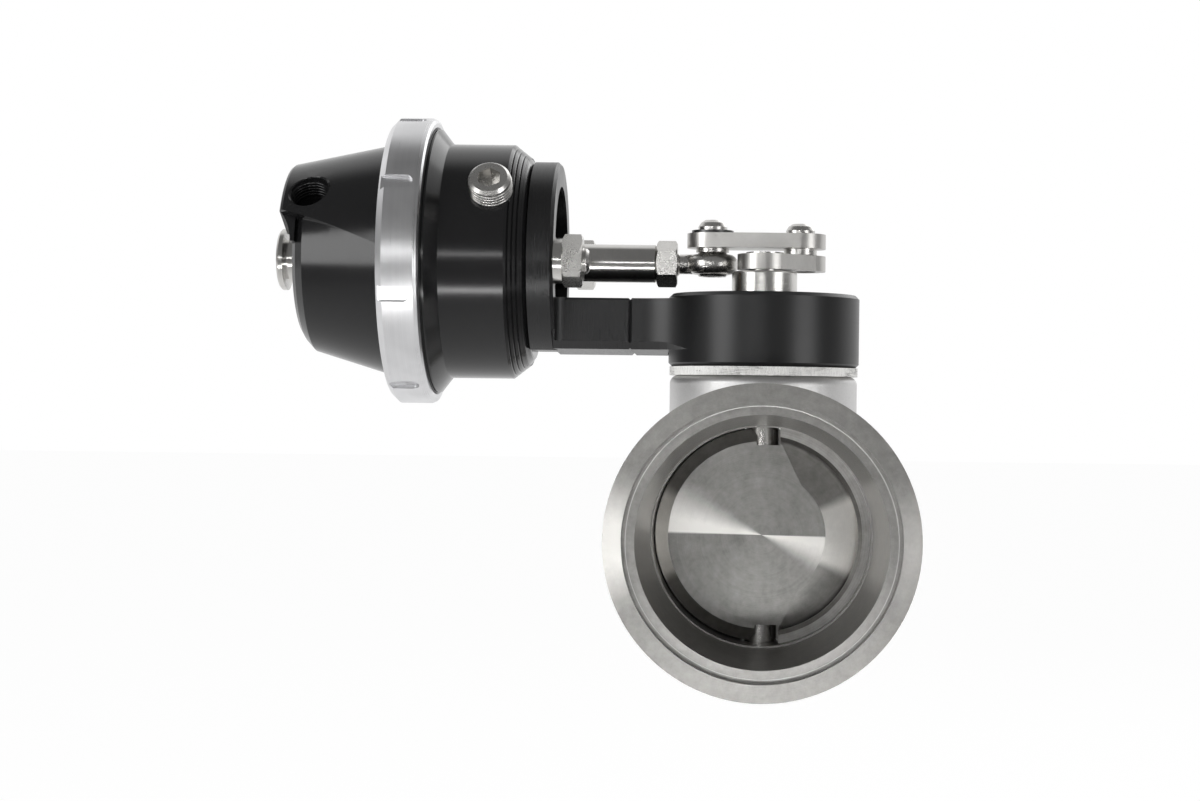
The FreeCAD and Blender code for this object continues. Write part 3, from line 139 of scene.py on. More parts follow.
class StageSettings(bpy.types.PropertyGroup):
    camera_distance: FloatProperty(
        name="Camera distance",
        description="From the valve shaft to the camera",
        default=0.533,
        unit="LENGTH",
    )
    camera_x: FloatProperty(
        name="Camera sideways",
        description="The camera's place across the bore",
        default=-0.00322,
        unit="LENGTH",
    )
    camera_z: FloatProperty(
        name="Camera height",
        description="The camera's place along the shaft",
        default=0.03323,
        unit="LENGTH",
    )
    lens: FloatProperty(
        name="Lens",
        description="Focal length on a 36 mm frame",
        default=65.25,
        unit="CAMERA",
    )
    roll: FloatProperty(
        name="Roll",
        description="How far the camera leans to the left",
        default=math.radians(0.7),
        unit="ROTATION",
    )
    floor_drop: FloatProperty(
        name="Floor drop",
        description="From the bore's axis down to the floor",
        default=0.150,
        unit="LENGTH",
    )
    paper: FloatVectorProperty(
        name="Paper",
        description="Colour of the floor",
        default=(0.90, 0.90, 0.90),
        subtype="COLOR",
        size=3,
    )
    fill_light: FloatProperty(
        name="Fill",
        description="Strength of the all-round light",
        default=0.50,
    )
    front_level: FloatProperty(
        name="Front level",
        description="What polished faces see in front and above, against white behind",
        default=0.20,
    )
    lamp_level: FloatProperty(
        name="Lamp level",
        description="How bright the lamps' faces are, against white paper",
        default=5.0,
    )


class MetalSettings(bpy.types.PropertyGroup):
    cast_grey: FloatVectorProperty(
        name="Cast steel",
        description="Blasted skin of the casting",
        default=(0.68, 0.675, 0.67),
        subtype="COLOR",
        size=3,
    )
    turned_grey: FloatVectorProperty(
        name="Turned steel",
        description="Machined faces of the valve",
        default=(0.50, 0.49, 0.47),
        subtype="COLOR",
        size=3,
    )
    bright_grey: FloatVectorProperty(
        name="Fastener steel",
        description="Screws, nuts and rod",
        default=(0.60, 0.59, 0.57),
        subtype="COLOR",
        size=3,
    )
    black: FloatVectorProperty(
        name="Black coat",
        description="Anodised aluminium",
        default=(0.006, 0.006, 0.0063),
        subtype="COLOR",
        size=3,
    )
    silver: FloatVectorProperty(
        name="Silver coat",
        description="Clear anodised aluminium",
        default=(0.70, 0.70, 0.71),
        subtype="COLOR",
        size=3,
    )
    gasket: FloatVectorProperty(
        name="Gasket white",
        description="Pressed ceramic",
        default=(0.90, 0.895, 0.87),
        subtype="COLOR",
        size=3,
    )


class ThreadSettings(bpy.types.PropertyGroup):
    stud_pitch: FloatProperty(
        name="Stud pitch",
        description="Pitch of the M6 threads",
        default=0.0010,
        unit="LENGTH",
    )
    port_pitch: FloatProperty(
        name="Port pitch",
        description="Pitch of the port threads",
        default=0.00094,
        unit="LENGTH",
    )
    thread_sides: IntProperty(
        name="Thread sides",
        description="Corners of the thread's section",
        default=4,
        min=3,
    )
    steps: IntProperty(
        name="Steps",
        description="Steps in one turn of a thread",
        default=48,
        min=12,
    )


# Shader writing

class Signal:
    """A number in a shader, so that its maths can be written as an expression."""

    def __init__(self, finish, socket):
        self.finish = finish
        self.socket = socket

    def maths(self, operation, *others):
        values = dict(enumerate((self,) + others))
        return self.finish.add("ShaderNodeMath", {"operation": operation}, values).out(0)

    def reflected(self, operation, other):
        return self.finish.add("ShaderNodeMath", {"operation": operation}, {0: other, 1: self}).out(0)

    def __add__(self, other):
        return self.maths("ADD", other)

    def __radd__(self, other):
        return self.reflected("ADD", other)

    def __sub__(self, other):
        return self.maths("SUBTRACT", other)

    def __rsub__(self, other):
        return self.reflected("SUBTRACT", other)

    def __mul__(self, other):
        return self.maths("MULTIPLY", other)

    def __abs__(self):
        return self.maths("ABSOLUTE")

    def __lt__(self, other):
        return self.maths("LESS_THAN", other)

    def root(self):
        return self.maths("SQRT")

    def ramp(self, low, high):
        """0 below low, 1 above high, and smooth between them."""
        sockets = {"Value": self, "From Min": low, "From Max": high}
        return self.finish.add("ShaderNodeMapRange", {"interpolation_type": "SMOOTHSTEP"}, sockets).out(0)


class NodeHandle:
    """A shader node whose outputs come back as signals."""

    def __init__(self, finish, node):
        self.finish = finish
        self.node = node

    def out(self, key):
        return Signal(self.finish, self.node.outputs[key])


class Finish:
    """A material in the making."""

    def __init__(self, name):
        self.material = bpy.data.materials.new(name)
        self.material.use_nodes = True
        self.tree = self.material.node_tree
        self.shader = self.tree.nodes["Principled BSDF"]

    def add(self, kind, settings=None, sockets=None):
        """A node of that kind, with its settings made first and then its sockets filled or linked."""
        node = self.tree.nodes.new(kind)
        for key, value in (settings or {}).items():
            setattr(node, key, value)
        for key, value in (sockets or {}).items():
            self.plug(node.inputs[key], value)
        return NodeHandle(self, node)

    def plug(self, socket, value):
        if isinstance(value, Signal):
            self.tree.links.new(value.socket, socket)
        elif socket.type == "RGBA":
            socket.default_value = tuple(value) + (1.0,)
        else:
            socket.default_value = value

    def coat(self, **values):
        """Fills the shader's own sockets: base_color, roughness, metallic and so on."""
        for key, value in values.items():
            name = " ".join(word.capitalize() for word in key.split("_"))
            name = name.replace("Ior", "IOR")
            self.plug(self.shader.inputs[name], value)

    def point(self):
        return self.add("ShaderNodeTexCoord").out("Object")

    def place(self, centre):
        """The three coordinates in millimetres, counted from centre."""
        offset = {1: tuple(-c for c in centre)}
        moved = self.add("ShaderNodeVectorMath", {"operation": "ADD"}, {0: self.point(), **offset}).out(0)
        scaled = self.add("ShaderNodeVectorMath", {"operation": "SCALE"}, {0: moved, "Scale": 1000.0}).out(0)
        split = self.add("ShaderNodeSeparateXYZ", None, {0: scaled})
        return split.out(0), split.out(1), split.out(2)

    def vector(self, x, y, z):
        return self.add("ShaderNodeCombineXYZ", None, {0: x, 1: y, 2: z}).out(0)

    def noise(self, vector, scale, detail=2.0, rough=0.5):
        sockets = {"Vector": vector, "Scale": scale, "Detail": detail, "Roughness": rough}
        return self.add("ShaderNodeTexNoise", {"noise_dimensions": "3D"}, sockets).out(0)

    def shade(self, factor, low, high):
        """A colour between low and high."""
        sockets = {"Factor": factor, 6: low, 7: high}
        return self.add("ShaderNodeMix", {"data_type": "RGBA"}, sockets).out(2)

    def bump(self, height, distance, strength=1.0):
        sockets = {"Height": height, "Distance": distance, "Strength": strength}
        return self.add("ShaderNodeBump", None, sockets).out(0)


def tint(colour, factor):
    return [channel * factor for channel in colour]


def round_marks(finish, axis, centre, fineness):
    """Fine rings that a lathe tool leaves about an axis, and the distance from that axis."""
    coordinates = finish.place(centre)
    along = coordinates[axis]
    first, second = [coordinates[index] for index in range(3) if index != axis]
    radius = (first * first + second * second).root()
    rings = finish.noise(finish.vector(radius * fineness, along * fineness, 0.0), 1.0, 3.0, 0.6)
    return rings, radius, along


def blotches(finish, scale, detail=3.0):
    """Slow uneven patches over the whole piece."""
    return finish.noise(finish.point(), scale, detail, 0.55)


# Finishes

def turned_finish(name, colour, axis, centre, fineness=4.0, roughness=0.26, cut=0.03):
    """Metal turned in a lathe, with rings that catch the light."""
    finish = Finish(name)
    rings, _, _ = round_marks(finish, axis, centre, fineness)
    patches = blotches(finish, 60.0)
    bright = patches.ramp(0.3, 0.7) * 0.6 + rings * 0.4
    finish.coat(
        base_color=finish.shade(bright, tint(colour, 0.78), tint(colour, 1.14)),
        metallic=1.0,
        roughness=roughness + rings * 0.14 + patches * 0.08 - 0.11,
        normal=finish.bump(rings, cut * MM),
    )
    return finish.material


def black_finish(name, colour, axis, centre, fineness=3.0, roughness=0.09):
    """Black anodised aluminium over lathe marks, with pale dust and rubbed spots."""
    finish = Finish(name)
    rings, _, _ = round_marks(finish, axis, centre, fineness)
    dust = finish.noise(finish.point(), 900.0, 4.0, 0.7).ramp(0.62, 0.80)
    patches = blotches(finish, 45.0)
    finish.coat(
        base_color=finish.shade(dust * 0.5 + patches * 0.2, colour, tint(colour, 3.2)),
        metallic=0.0,
        specular_ior_level=0.4,
        roughness=rings * 0.10 + patches * 0.06 + roughness,
        normal=finish.bump(rings, 0.012 * MM),
    )
    return finish.material


def milled_black_finish(name, colour, lines_axis):
    """Black anodised aluminium with straight milling lines."""
    finish = Finish(name)
    coordinates = finish.place(BORE_AT)
    stretch = [0.15, 0.15, 0.15]
    stretch[lines_axis] = 5.0
    scaled = [coordinate * amount for coordinate, amount in zip(coordinates, stretch)]
    lines = finish.noise(finish.vector(*scaled), 1.0, 3.0, 0.6)
    patches = blotches(finish, 45.0)
    dust = finish.noise(finish.point(), 900.0, 4.0, 0.7).ramp(0.62, 0.80)
    finish.coat(
        base_color=finish.shade(dust * 0.4 + lines * 0.3, colour, tint(colour, 3.0)),
        metallic=0.0,
        specular_ior_level=0.4,
        roughness=lines * 0.18 + patches * 0.08 + 0.18,
        normal=finish.bump(lines, 0.08 * MM),
    )
    return finish.material


def half_turns(finish):
    """The angle about the bore, in half turns that start anew at level, and its distance from level."""
    x, _, z = finish.place(BORE_AT)
    turns = (z.maths("ARCTAN2", x) * (-1.0 / math.pi)).maths("FRACT")
    from_level = abs((turns + 0.5).maths("FRACT") - 0.5)
    return x, turns, from_level


def body_finish(metal):
    """Blasted casting outside, turned steel on the flanges and in the bore, with painted highlight fans on
    the flange faces, lighter on the left side.
    """
    finish = Finish("wastegate_body_steel")
    rings, radius, along = round_marks(finish, 1, BORE_AT, 9.0)
    x, _, from_level = half_turns(finish)
    from_middle = abs(along - BODY_HALF)
    bore = 1.0 - radius.ramp(PIPE_R - 0.3, PIPE_R - 0.1)
    flange = from_middle.ramp(FLANGE_BACK, FLANGE_BACK + 0.4) * radius.ramp(PIPE_R - 0.2, PIPE_R + 0.1)
    face = from_middle.ramp(BODY_HALF - 0.3, BODY_HALF - 0.1)
    # Painted highlight: light fans on the flange faces on either side of level, stronger on the left side.
    painted_fans = (1.0 - from_level.ramp(0.0, 0.17)) * ((x < 0.0) * 0.7 + 0.3) * face
    machined = (bore + flange).maths("MINIMUM", 1.0)
    skin = finish.noise(finish.point(), 2600.0, 4.0, 0.7)
    pits = finish.noise(finish.point(), 700.0, 3.0, 0.6)
    patches = blotches(finish, 40.0)
    spots = finish.noise(finish.point(), 420.0, 4.0, 0.7)
    # bright is partly painted highlight (the fans) and partly the metal's own rings, spots and patches.
    bright = (painted_fans * 0.80 + rings * 0.20 + spots * 0.22 + patches * 0.12).maths("MINIMUM", 1.0)
    turned = finish.shade(bright, tint(metal.turned_grey, 0.10), tint(metal.turned_grey, 2.00))
    cast = finish.shade(skin * 0.5 + patches * 0.5, tint(metal.cast_grey, 0.7), tint(metal.cast_grey, 1.2))
    blasted = 1.0 - machined
    height = machined * rings * 0.035 + blasted * (skin * 0.05 + pits * 0.06)
    finish.coat(
        base_color=finish.shade(machined, cast, turned),
        metallic=1.0,
        roughness=machined * (rings * 0.08 + spots * 0.12 + 0.24) + blasted * (patches * 0.1 + 0.42),
        normal=finish.bump(height, MM),
    )
    return finish.material


def disc_finish(metal):
    """Faced steel, with a painted highlight fan on either side of the middle, and stains of handling."""
    finish = Finish("wastegate_disc_steel")
    rings, _, along = round_marks(finish, 1, BORE_AT, 9.0)
    _, turns, from_level = half_turns(finish)
    lowered = abs(along - BODY_HALF) < DISC_HUB_HALF - 0.02
    # Painted highlight: a light fan just past level on the hub, and light fans on either side of level on the
    # lowered wings.
    hub_highlight = turns.ramp(0.0, 0.012) * (1.0 - turns.ramp(0.02, 0.22))
    wing_highlight = 1.0 - from_level.ramp(0.11, 0.16)
    painted_fans = lowered * wing_highlight * 0.8 + (1.0 - lowered) * hub_highlight
    stains = blotches(finish, 110.0, 4.0)
    spots = finish.noise(finish.point(), 420.0, 4.0, 0.7)
    # bright is partly painted highlight (the fans) and partly the metal's own rings, stains and spots.
    bright = (painted_fans * 0.80 + rings * 0.16 + stains * 0.14 + spots * 0.20).maths("MINIMUM", 1.0)
    finish.coat(
        base_color=finish.shade(bright, tint(metal.turned_grey, 0.06), tint(metal.turned_grey, 1.80)),
        metallic=1.0,
        roughness=rings * 0.06 + stains * 0.10 + 0.26,
        normal=finish.bump(rings, 0.03 * MM),
    )
    return finish.material


def gasket_finish(metal):
    """Pressed white ceramic, with fine upright cracks and a few dark chips."""
    finish = Finish("wastegate_gasket_ceramic")
    grain = finish.noise(finish.point(), 1500.0, 4.0, 0.7)
    x, y, z = finish.place(SHAFT_AT)
    around = y.maths("ARCTAN2", x) * GASKET_R
    upright = finish.noise(finish.vector(around * 1.1, z * 0.22, 0.0), 1.0, 4.0, 0.75)
    cracks = 1.0 - abs(upright - 0.5).ramp(0.0, 0.035)
    layers = finish.noise(finish.vector(around * 0.12, z * 2.4, 3.0), 1.0, 3.0, 0.7)
    split = (1.0 - abs(layers - 0.55).ramp(0.0, 0.03)) * finish.noise(finish.point(), 90.0).ramp(0.45, 0.6)
    chips = finish.noise(finish.vector(around * 0.45, z * 0.8, 7.0), 1.0, 4.0, 0.8).ramp(0.64, 0.70)
    dark = (cracks * 0.20 + split * 0.4 + chips * 0.9).maths("MINIMUM", 1.0)
    finish.coat(
        base_color=finish.shade(dark, metal.gasket, (0.07, 0.065, 0.06)),
        metallic=0.0,
        roughness=grain * 0.2 + 0.55,
        normal=finish.bump(grain * 0.3 - dark, 0.18 * MM),
    )
    return finish.material


def bright_finish(name, colour, roughness=0.28):
    """Bright stainless of screws and nuts, lightly handled."""
    finish = Finish(name)
    fine = finish.noise(finish.point(), 2400.0, 3.0, 0.6)
    patches = blotches(finish, 220.0)
    finish.coat(
        base_color=finish.shade(patches, tint(colour, 0.75), tint(colour, 1.15)),
        metallic=1.0,
        roughness=fine * 0.10 + patches * 0.10 + roughness - 0.10,
        normal=finish.bump(fine, 0.004 * MM),
    )
    return finish.material


def plate_finish(name, colour):
    """Stainless plate, ground along its length and cut square at its edge."""
    finish = Finish(name)
    x, y, z = finish.place(SHAFT_AT)
    ground = finish.noise(finish.vector(x * 0.25, y * 5.0, z * 0.6), 1.0, 3.0, 0.6)
    cut = finish.noise(finish.vector(x * 2.5, y * 2.5, z * 0.3), 1.0, 3.0, 0.6)
    patches = blotches(finish, 160.0)
    finish.coat(
        base_color=finish.shade(ground * 0.4 + patches * 0.6, tint(colour, 0.72), tint(colour, 1.15)),
        metallic=1.0,
        roughness=ground * 0.14 + patches * 0.08 + 0.26,
        normal=finish.bump(ground + cut, 0.006 * MM),
    )
    return finish.material


def rubber_finish():
    """Fabric-filled rubber of the seals and the diaphragm."""
    finish = Finish("wastegate_rubber")
    fine = finish.noise(finish.point(), 1800.0, 3.0, 0.6)
    finish.coat(
        base_color=finish.shade(fine, (0.012, 0.012, 0.012), (0.03, 0.03, 0.03)),
        metallic=0.0,
        roughness=fine * 0.2 + 0.55,
        normal=finish.bump(fine, 0.03 * MM),
    )
    return finish.material


def wear(material, *names):
    """Gives CAD nodes a finish."""
    for name in names:
        slots = NODES[name].data.materials
        slots.clear()
        slots.append(material)


# Meshes

def settle(obj, body, material, replaced=()):
    """A finished piece: its material, its body, if it has one of its own, and the nodes it stands for."""
    obj.data.materials.clear()
    obj.data.materials.append(material)
    for polygon in obj.data.polygons:
        polygon.use_smooth = True
    if body:
        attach(obj, body)
    if replaced:
        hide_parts(*replaced)
    return obj


def link(name, mesh):
    obj = bpy.data.objects.new(name, mesh)
    bpy.context.scene.collection.objects.link(obj)
    return obj


def axis_matrix(origin, direction):
    """Puts a shape that stands on +Z at origin along direction."""
    turn = Vector((0, 0, 1)).rotation_difference(direction).to_matrix().to_4x4()
    return Matrix.Translation(origin) @ turn


def turned_mesh(name, profile, steps, place):
    """A solid of revolution from (height, radius) points, closed where the radius is nought."""
    shape = bmesh.new()
    rings = []
    for height, radius in profile:
        if radius <= 0:
            rings.append([shape.verts.new((0, 0, height))])
            continue
        ring = []
        for step in range(steps):
            angle = 2 * math.pi * step / steps
            ring.append(shape.verts.new((radius * math.cos(angle), radius * math.sin(angle), height)))
        rings.append(ring)
    for lower, upper in zip(rings, rings[1:]):
        for step in range(steps):
            following = (step + 1) % steps
            if len(lower) == 1:
                shape.faces.new((lower[0], upper[following], upper[step]))
            elif len(upper) == 1:
                shape.faces.new((lower[step], lower[following], upper[0]))
            else:
                shape.faces.new((lower[step], lower[following], upper[following], upper[step]))
    bmesh.ops.recalc_face_normals(shape, faces=shape.faces)
    mesh = bpy.data.meshes.new(name)
    shape.to_mesh(mesh)
    shape.free()
    mesh.transform(place)
    return mesh


def coil_tree():
    """A Geometry Nodes tree that winds a wire, or a thread's ridge, round an axis."""
    tree = bpy.data.node_groups.new("wastegate_wound_coil", "GeometryNodeTree")
    face = tree.interface
    face.new_socket("Geometry", in_out="OUTPUT", socket_type="NodeSocketGeometry")
    inputs = (
        ("Coil Radius", "NodeSocketFloat"), ("Length", "NodeSocketFloat"), ("Turns", "NodeSocketFloat"),
        ("Wire Radius", "NodeSocketFloat"), ("Wire Sides", "NodeSocketInt"), ("Steps", "NodeSocketInt"),
        ("Finish", "NodeSocketMaterial"),
    )
    for name, kind in inputs:
        face.new_socket(name, in_out="INPUT", socket_type=kind)
    make = tree.nodes.new
    given = make("NodeGroupInput").outputs
    result = make("NodeGroupOutput")
    spiral = make("GeometryNodeCurveSpiral")
    upright = make("GeometryNodeSetCurveNormal")
    upright.mode = "Z_UP"
    section = make("GeometryNodeCurvePrimitiveCircle")
    sweep = make("GeometryNodeCurveToMesh")
    sweep.inputs["Fill Caps"].default_value = True
    realize = make("GeometryNodeRealizeInstances")
    dress = make("GeometryNodeSetMaterial")
    wires = (
        (given["Steps"], spiral.inputs["Resolution"]), (given["Turns"], spiral.inputs["Rotations"]),
        (given["Coil Radius"], spiral.inputs["Start Radius"]),
        (given["Coil Radius"], spiral.inputs["End Radius"]),
        (given["Length"], spiral.inputs["Height"]), (spiral.outputs[0], upright.inputs["Curve"]),
        (given["Wire Sides"], section.inputs["Resolution"]),
        (given["Wire Radius"], section.inputs["Radius"]),
        (upright.outputs[0], sweep.inputs["Curve"]), (section.outputs[0], sweep.inputs["Profile Curve"]),
        (sweep.outputs[0], realize.inputs[0]), (realize.outputs[0], dress.inputs["Geometry"]),
        (given["Finish"], dress.inputs["Material"]), (dress.outputs[0], result.inputs[0]),
    )
    for source, target in wires:
        tree.links.new(source, target)
    return tree


def coil_mesh(name, tree, place, finish, sizes):
    """Runs the coil tree on an empty mesh, and returns the plain mesh at its place."""
    holder = link(name + "_holder", bpy.data.meshes.new(name + "_holder"))
    modifier = holder.modifiers.new("coil", "NODES")
    modifier.node_group = tree
    sizes = {**sizes, "Finish": finish}
    for item in tree.interface.items_tree:
        if item.in_out == "INPUT":
            modifier[item.identifier] = sizes[item.name]
    graph = bpy.context.evaluated_depsgraph_get()
    mesh = bpy.data.meshes.new_from_object(holder.evaluated_get(graph))
    mesh.name = name
    holder.modifiers.remove(modifier)
    bpy.data.objects.remove(holder)
    mesh.transform(place)
    return mesh


def join_meshes(name, meshes):
    """One mesh of several."""
    shape = bmesh.new()
    for mesh in meshes:
        shape.from_mesh(mesh)
    joined = bpy.data.meshes.new(name)
    shape.to_mesh(joined)
    shape.free()
    return joined


def thread_sizes(radius, length, pitch, threads):
    return {
        "Coil Radius": radius, "Length": length, "Turns": length / pitch, "Wire Radius": pitch * 0.42,
        "Wire Sides": threads.thread_sides, "Steps": threads.steps,
    }


# Operators

class WASTEGATE_OT_valve(bpy.types.Operator):
    """Finishes the valve body, its disc, shaft and gasket"""

    bl_idname = "wastegate.valve"
    bl_label = "Finish the valve"

    def execute(self, context):
        metal = context.scene.wastegate_metal
        wear(body_finish(metal), "valve_body")
        wear(disc_finish(metal), "valve_disc")
        shaft = turned_finish("wastegate_shaft_steel", metal.bright_grey, 2, SHAFT_AT, 4.0, 0.24)
        wear(shaft, "valve_shaft", "shaft_gland", "end_plug", "crank_screw")
        wear(gasket_finish(metal), "heat_gasket")
        bronze = turned_finish("wastegate_bronze", (0.45, 0.28, 0.12), 2, SHAFT_AT, 3.0, 0.35)
        wear(bronze, "upper_bush", "lower_bush", "rod_bush")
        return {"FINISHED"}


class WASTEGATE_OT_bracket(bpy.types.Operator):
    """Finishes the black hub bracket and the actuator's mount"""

    bl_idname = "wastegate.bracket"
    bl_label = "Finish the bracket"

    def execute(self, context):
        metal = context.scene.wastegate_metal
        wear(black_finish("wastegate_black_hub", metal.black, 2, SHAFT_AT, 3.0, 0.26), "hub_bracket")
        wear(milled_black_finish("wastegate_black_mount", metal.black, 0), "actuator_mount")
        return {"FINISHED"}


class WASTEGATE_OT_actuator(bpy.types.Operator):
    """Finishes the can, cap, collar and the parts inside"""

    bl_idname = "wastegate.actuator"
    bl_label = "Finish the actuator"

    def execute(self, context):
        metal = context.scene.wastegate_metal
        wear(black_finish("wastegate_black_can", metal.black, 0, ACTUATOR_AT), "actuator_can", "actuator_cap")
        silver = turned_finish("wastegate_silver", metal.silver, 0, ACTUATOR_AT, 3.0, 0.30)
        wear(silver, "locking_collar", "piston", "backing_plate", "spring_seat")
        bright = turned_finish("wastegate_rod_steel", metal.bright_grey, 0, ACTUATOR_AT, 4.0, 0.18)
        wear(bright, "actuator_rod", "spring_adjuster", "piston_nut", "stud_washers")
        wear(rubber_finish(), "diaphragm", "rod_seal", "shaft_seals")
        return {"FINISHED"}


class WASTEGATE_OT_fasteners(bpy.types.Operator):
    """Finishes the screws and nuts, and cuts the threads that show"""

    bl_idname = "wastegate.fasteners"
    bl_label = "Finish the fasteners"

    def execute(self, context):
        metal = context.scene.wastegate_metal
        threads = context.scene.wastegate_threads
        bright = bright_finish("wastegate_bright_steel", metal.bright_grey)
        wear(
            bright, "disc_screws", "hub_screws", "arm_screws", "mount_studs", "stud_nuts", "jam_nut",
            "rod_end", "rod_end_ball", "link_spacers", "rod_bolt", "crank_bolt", "port_plug",
        )
        wear(bright_finish("wastegate_dark_steel", (0.10, 0.10, 0.10), 0.35), "link_washer")
        wear(plate_finish("wastegate_plate_steel", metal.bright_grey), "link_plate", "crank_lever")
        tree = coil_tree()
        plug = (PLUG_THREAD_X, PLUG_THREAD_FOOT, PLUG_THREAD_R, PLUG_THREAD_LENGTH)
        self.port_thread("plug_thread", tree, PLUG_OUT, plug, bright, "fastener_steel", threads)
        port = (CAP_PORT_X, CAP_PORT_FOOT, CAP_PORT_THREAD_R, CAP_PORT_THREAD_LENGTH)
        black = NODES["actuator_cap"].data.materials[0]
        self.port_thread("cap_port_thread", tree, CAP_PORT_OUT, port, black, "black_anodised", threads)
        self.stud_threads(tree, bright, threads)
        return {"FINISHED"}

    def port_thread(self, name, tree, out, sizes, finish, slot, threads):
        """A thread that points out from the actuator's axis."""
        along, foot, radius, length = sizes
        start = ACTUATOR_AT + Vector((along * MM, 0, 0)) + out * foot * MM
        ridges = thread_sizes(radius * MM, length * MM, threads.port_pitch, threads)
        mesh = coil_mesh(name, tree, axis_matrix(start, out), finish, ridges)
        settle(link(name, mesh), "housing", finish)

    def stud_threads(self, tree, finish, threads):
        """The ends of both studs, which stand out of their nuts."""
        studs_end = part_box("mount_studs")[1].x
        nuts_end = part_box("stud_nuts")[1].x
        length = studs_end - nuts_end - STUD_THREAD_SHORT * MM
        ridges = thread_sizes(STUD_THREAD_R * MM, length, threads.stud_pitch * STUD_PITCH_SHARE, threads)
        meshes = []
        for side in (-1, 1):
            out = Vector((0, side * math.cos(STUD_TILT), side * math.sin(STUD_TILT)))
            foot = ACTUATOR_AT + out * STUD_PITCH_R * MM
            foot.x = nuts_end - STUD_THREAD_IN * MM
            place = axis_matrix(foot, Vector((1, 0, 0)))
            meshes.append(coil_mesh("stud_thread", tree, place, finish, ridges))
        settle(link("stud_threads", join_meshes("stud_threads", meshes)), "housing", finish)


class WASTEGATE_OT_spring(bpy.types.Operator):
    """Winds the return spring and moulds the diaphragm"""

    bl_idname = "wastegate.spring"
    bl_label = "Make the spring and the diaphragm"

    def execute(self, context):
        metal = context.scene.wastegate_metal
        finish = turned_finish("wastegate_spring_wire", metal.bright_grey, 0, ACTUATOR_AT, 3.0, 0.3)
        low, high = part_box("return_spring")
        wire = SPRING_WIRE_R * MM
        length = high.x - low.x - 2 * wire
        sizes = {
            "Coil Radius": SPRING_R * MM, "Length": length, "Turns": SPRING_TURNS, "Wire Radius": wire,
            "Wire Sides": SPRING_WIRE_SIDES, "Steps": SPRING_STEPS,
        }
        start = Vector((low.x + wire, ACTUATOR_AT.y, ACTUATOR_AT.z))
        mesh = coil_mesh("spring_wire", coil_tree(), axis_matrix(start, Vector((1, 0, 0))), finish, sizes)
        spring = settle(link("spring_wire", mesh), "housing", finish, ("return_spring",))
        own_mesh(spring)
        self.diaphragm()
        return {"FINISHED"}

    def diaphragm(self):
        """The moulded diaphragm, whose web rolls with the piston."""
        low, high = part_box("diaphragm")
        thick = CLOTH_THICK * MM
        middle_left, rim_left = high.x - thick, low.x
        outer_r = (high.z - low.z) / 2
        left, right = [], []
        for step in range(WEB_STEPS + 1):
            share = step / WEB_STEPS
            radius = (WEB_START_R + (WEB_END_R - WEB_START_R) * share) * MM
            sag = (1 - math.cos(math.pi * share)) / 2
            x = middle_left + (rim_left - middle_left) * sag
            left.append((x, radius))
            right.append((x + thick, radius))
        hole_r = CLOTH_HOLE_R * MM
        profile = [(middle_left, hole_r)] + left + [(rim_left, outer_r), (rim_left + thick, outer_r)]
        profile += right[::-1] + [(middle_left + thick, hole_r), (middle_left, hole_r)]
        place = axis_matrix(Vector((0, ACTUATOR_AT.y, ACTUATOR_AT.z)), Vector((1, 0, 0)))
        mesh = turned_mesh("diaphragm_cloth", profile, CLOTH_SIDES, place)
        rubber = NODES["diaphragm"].data.materials[0]
        cloth = settle(link("diaphragm_cloth", mesh), None, rubber, ("diaphragm",))
        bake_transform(cloth)


def feed(tree, socket, value):
    """Links an output to a socket, or sets a plain number on it."""
    if isinstance(value, bpy.types.NodeSocket):
        tree.links.new(value, socket)
    else:
        socket.default_value = value


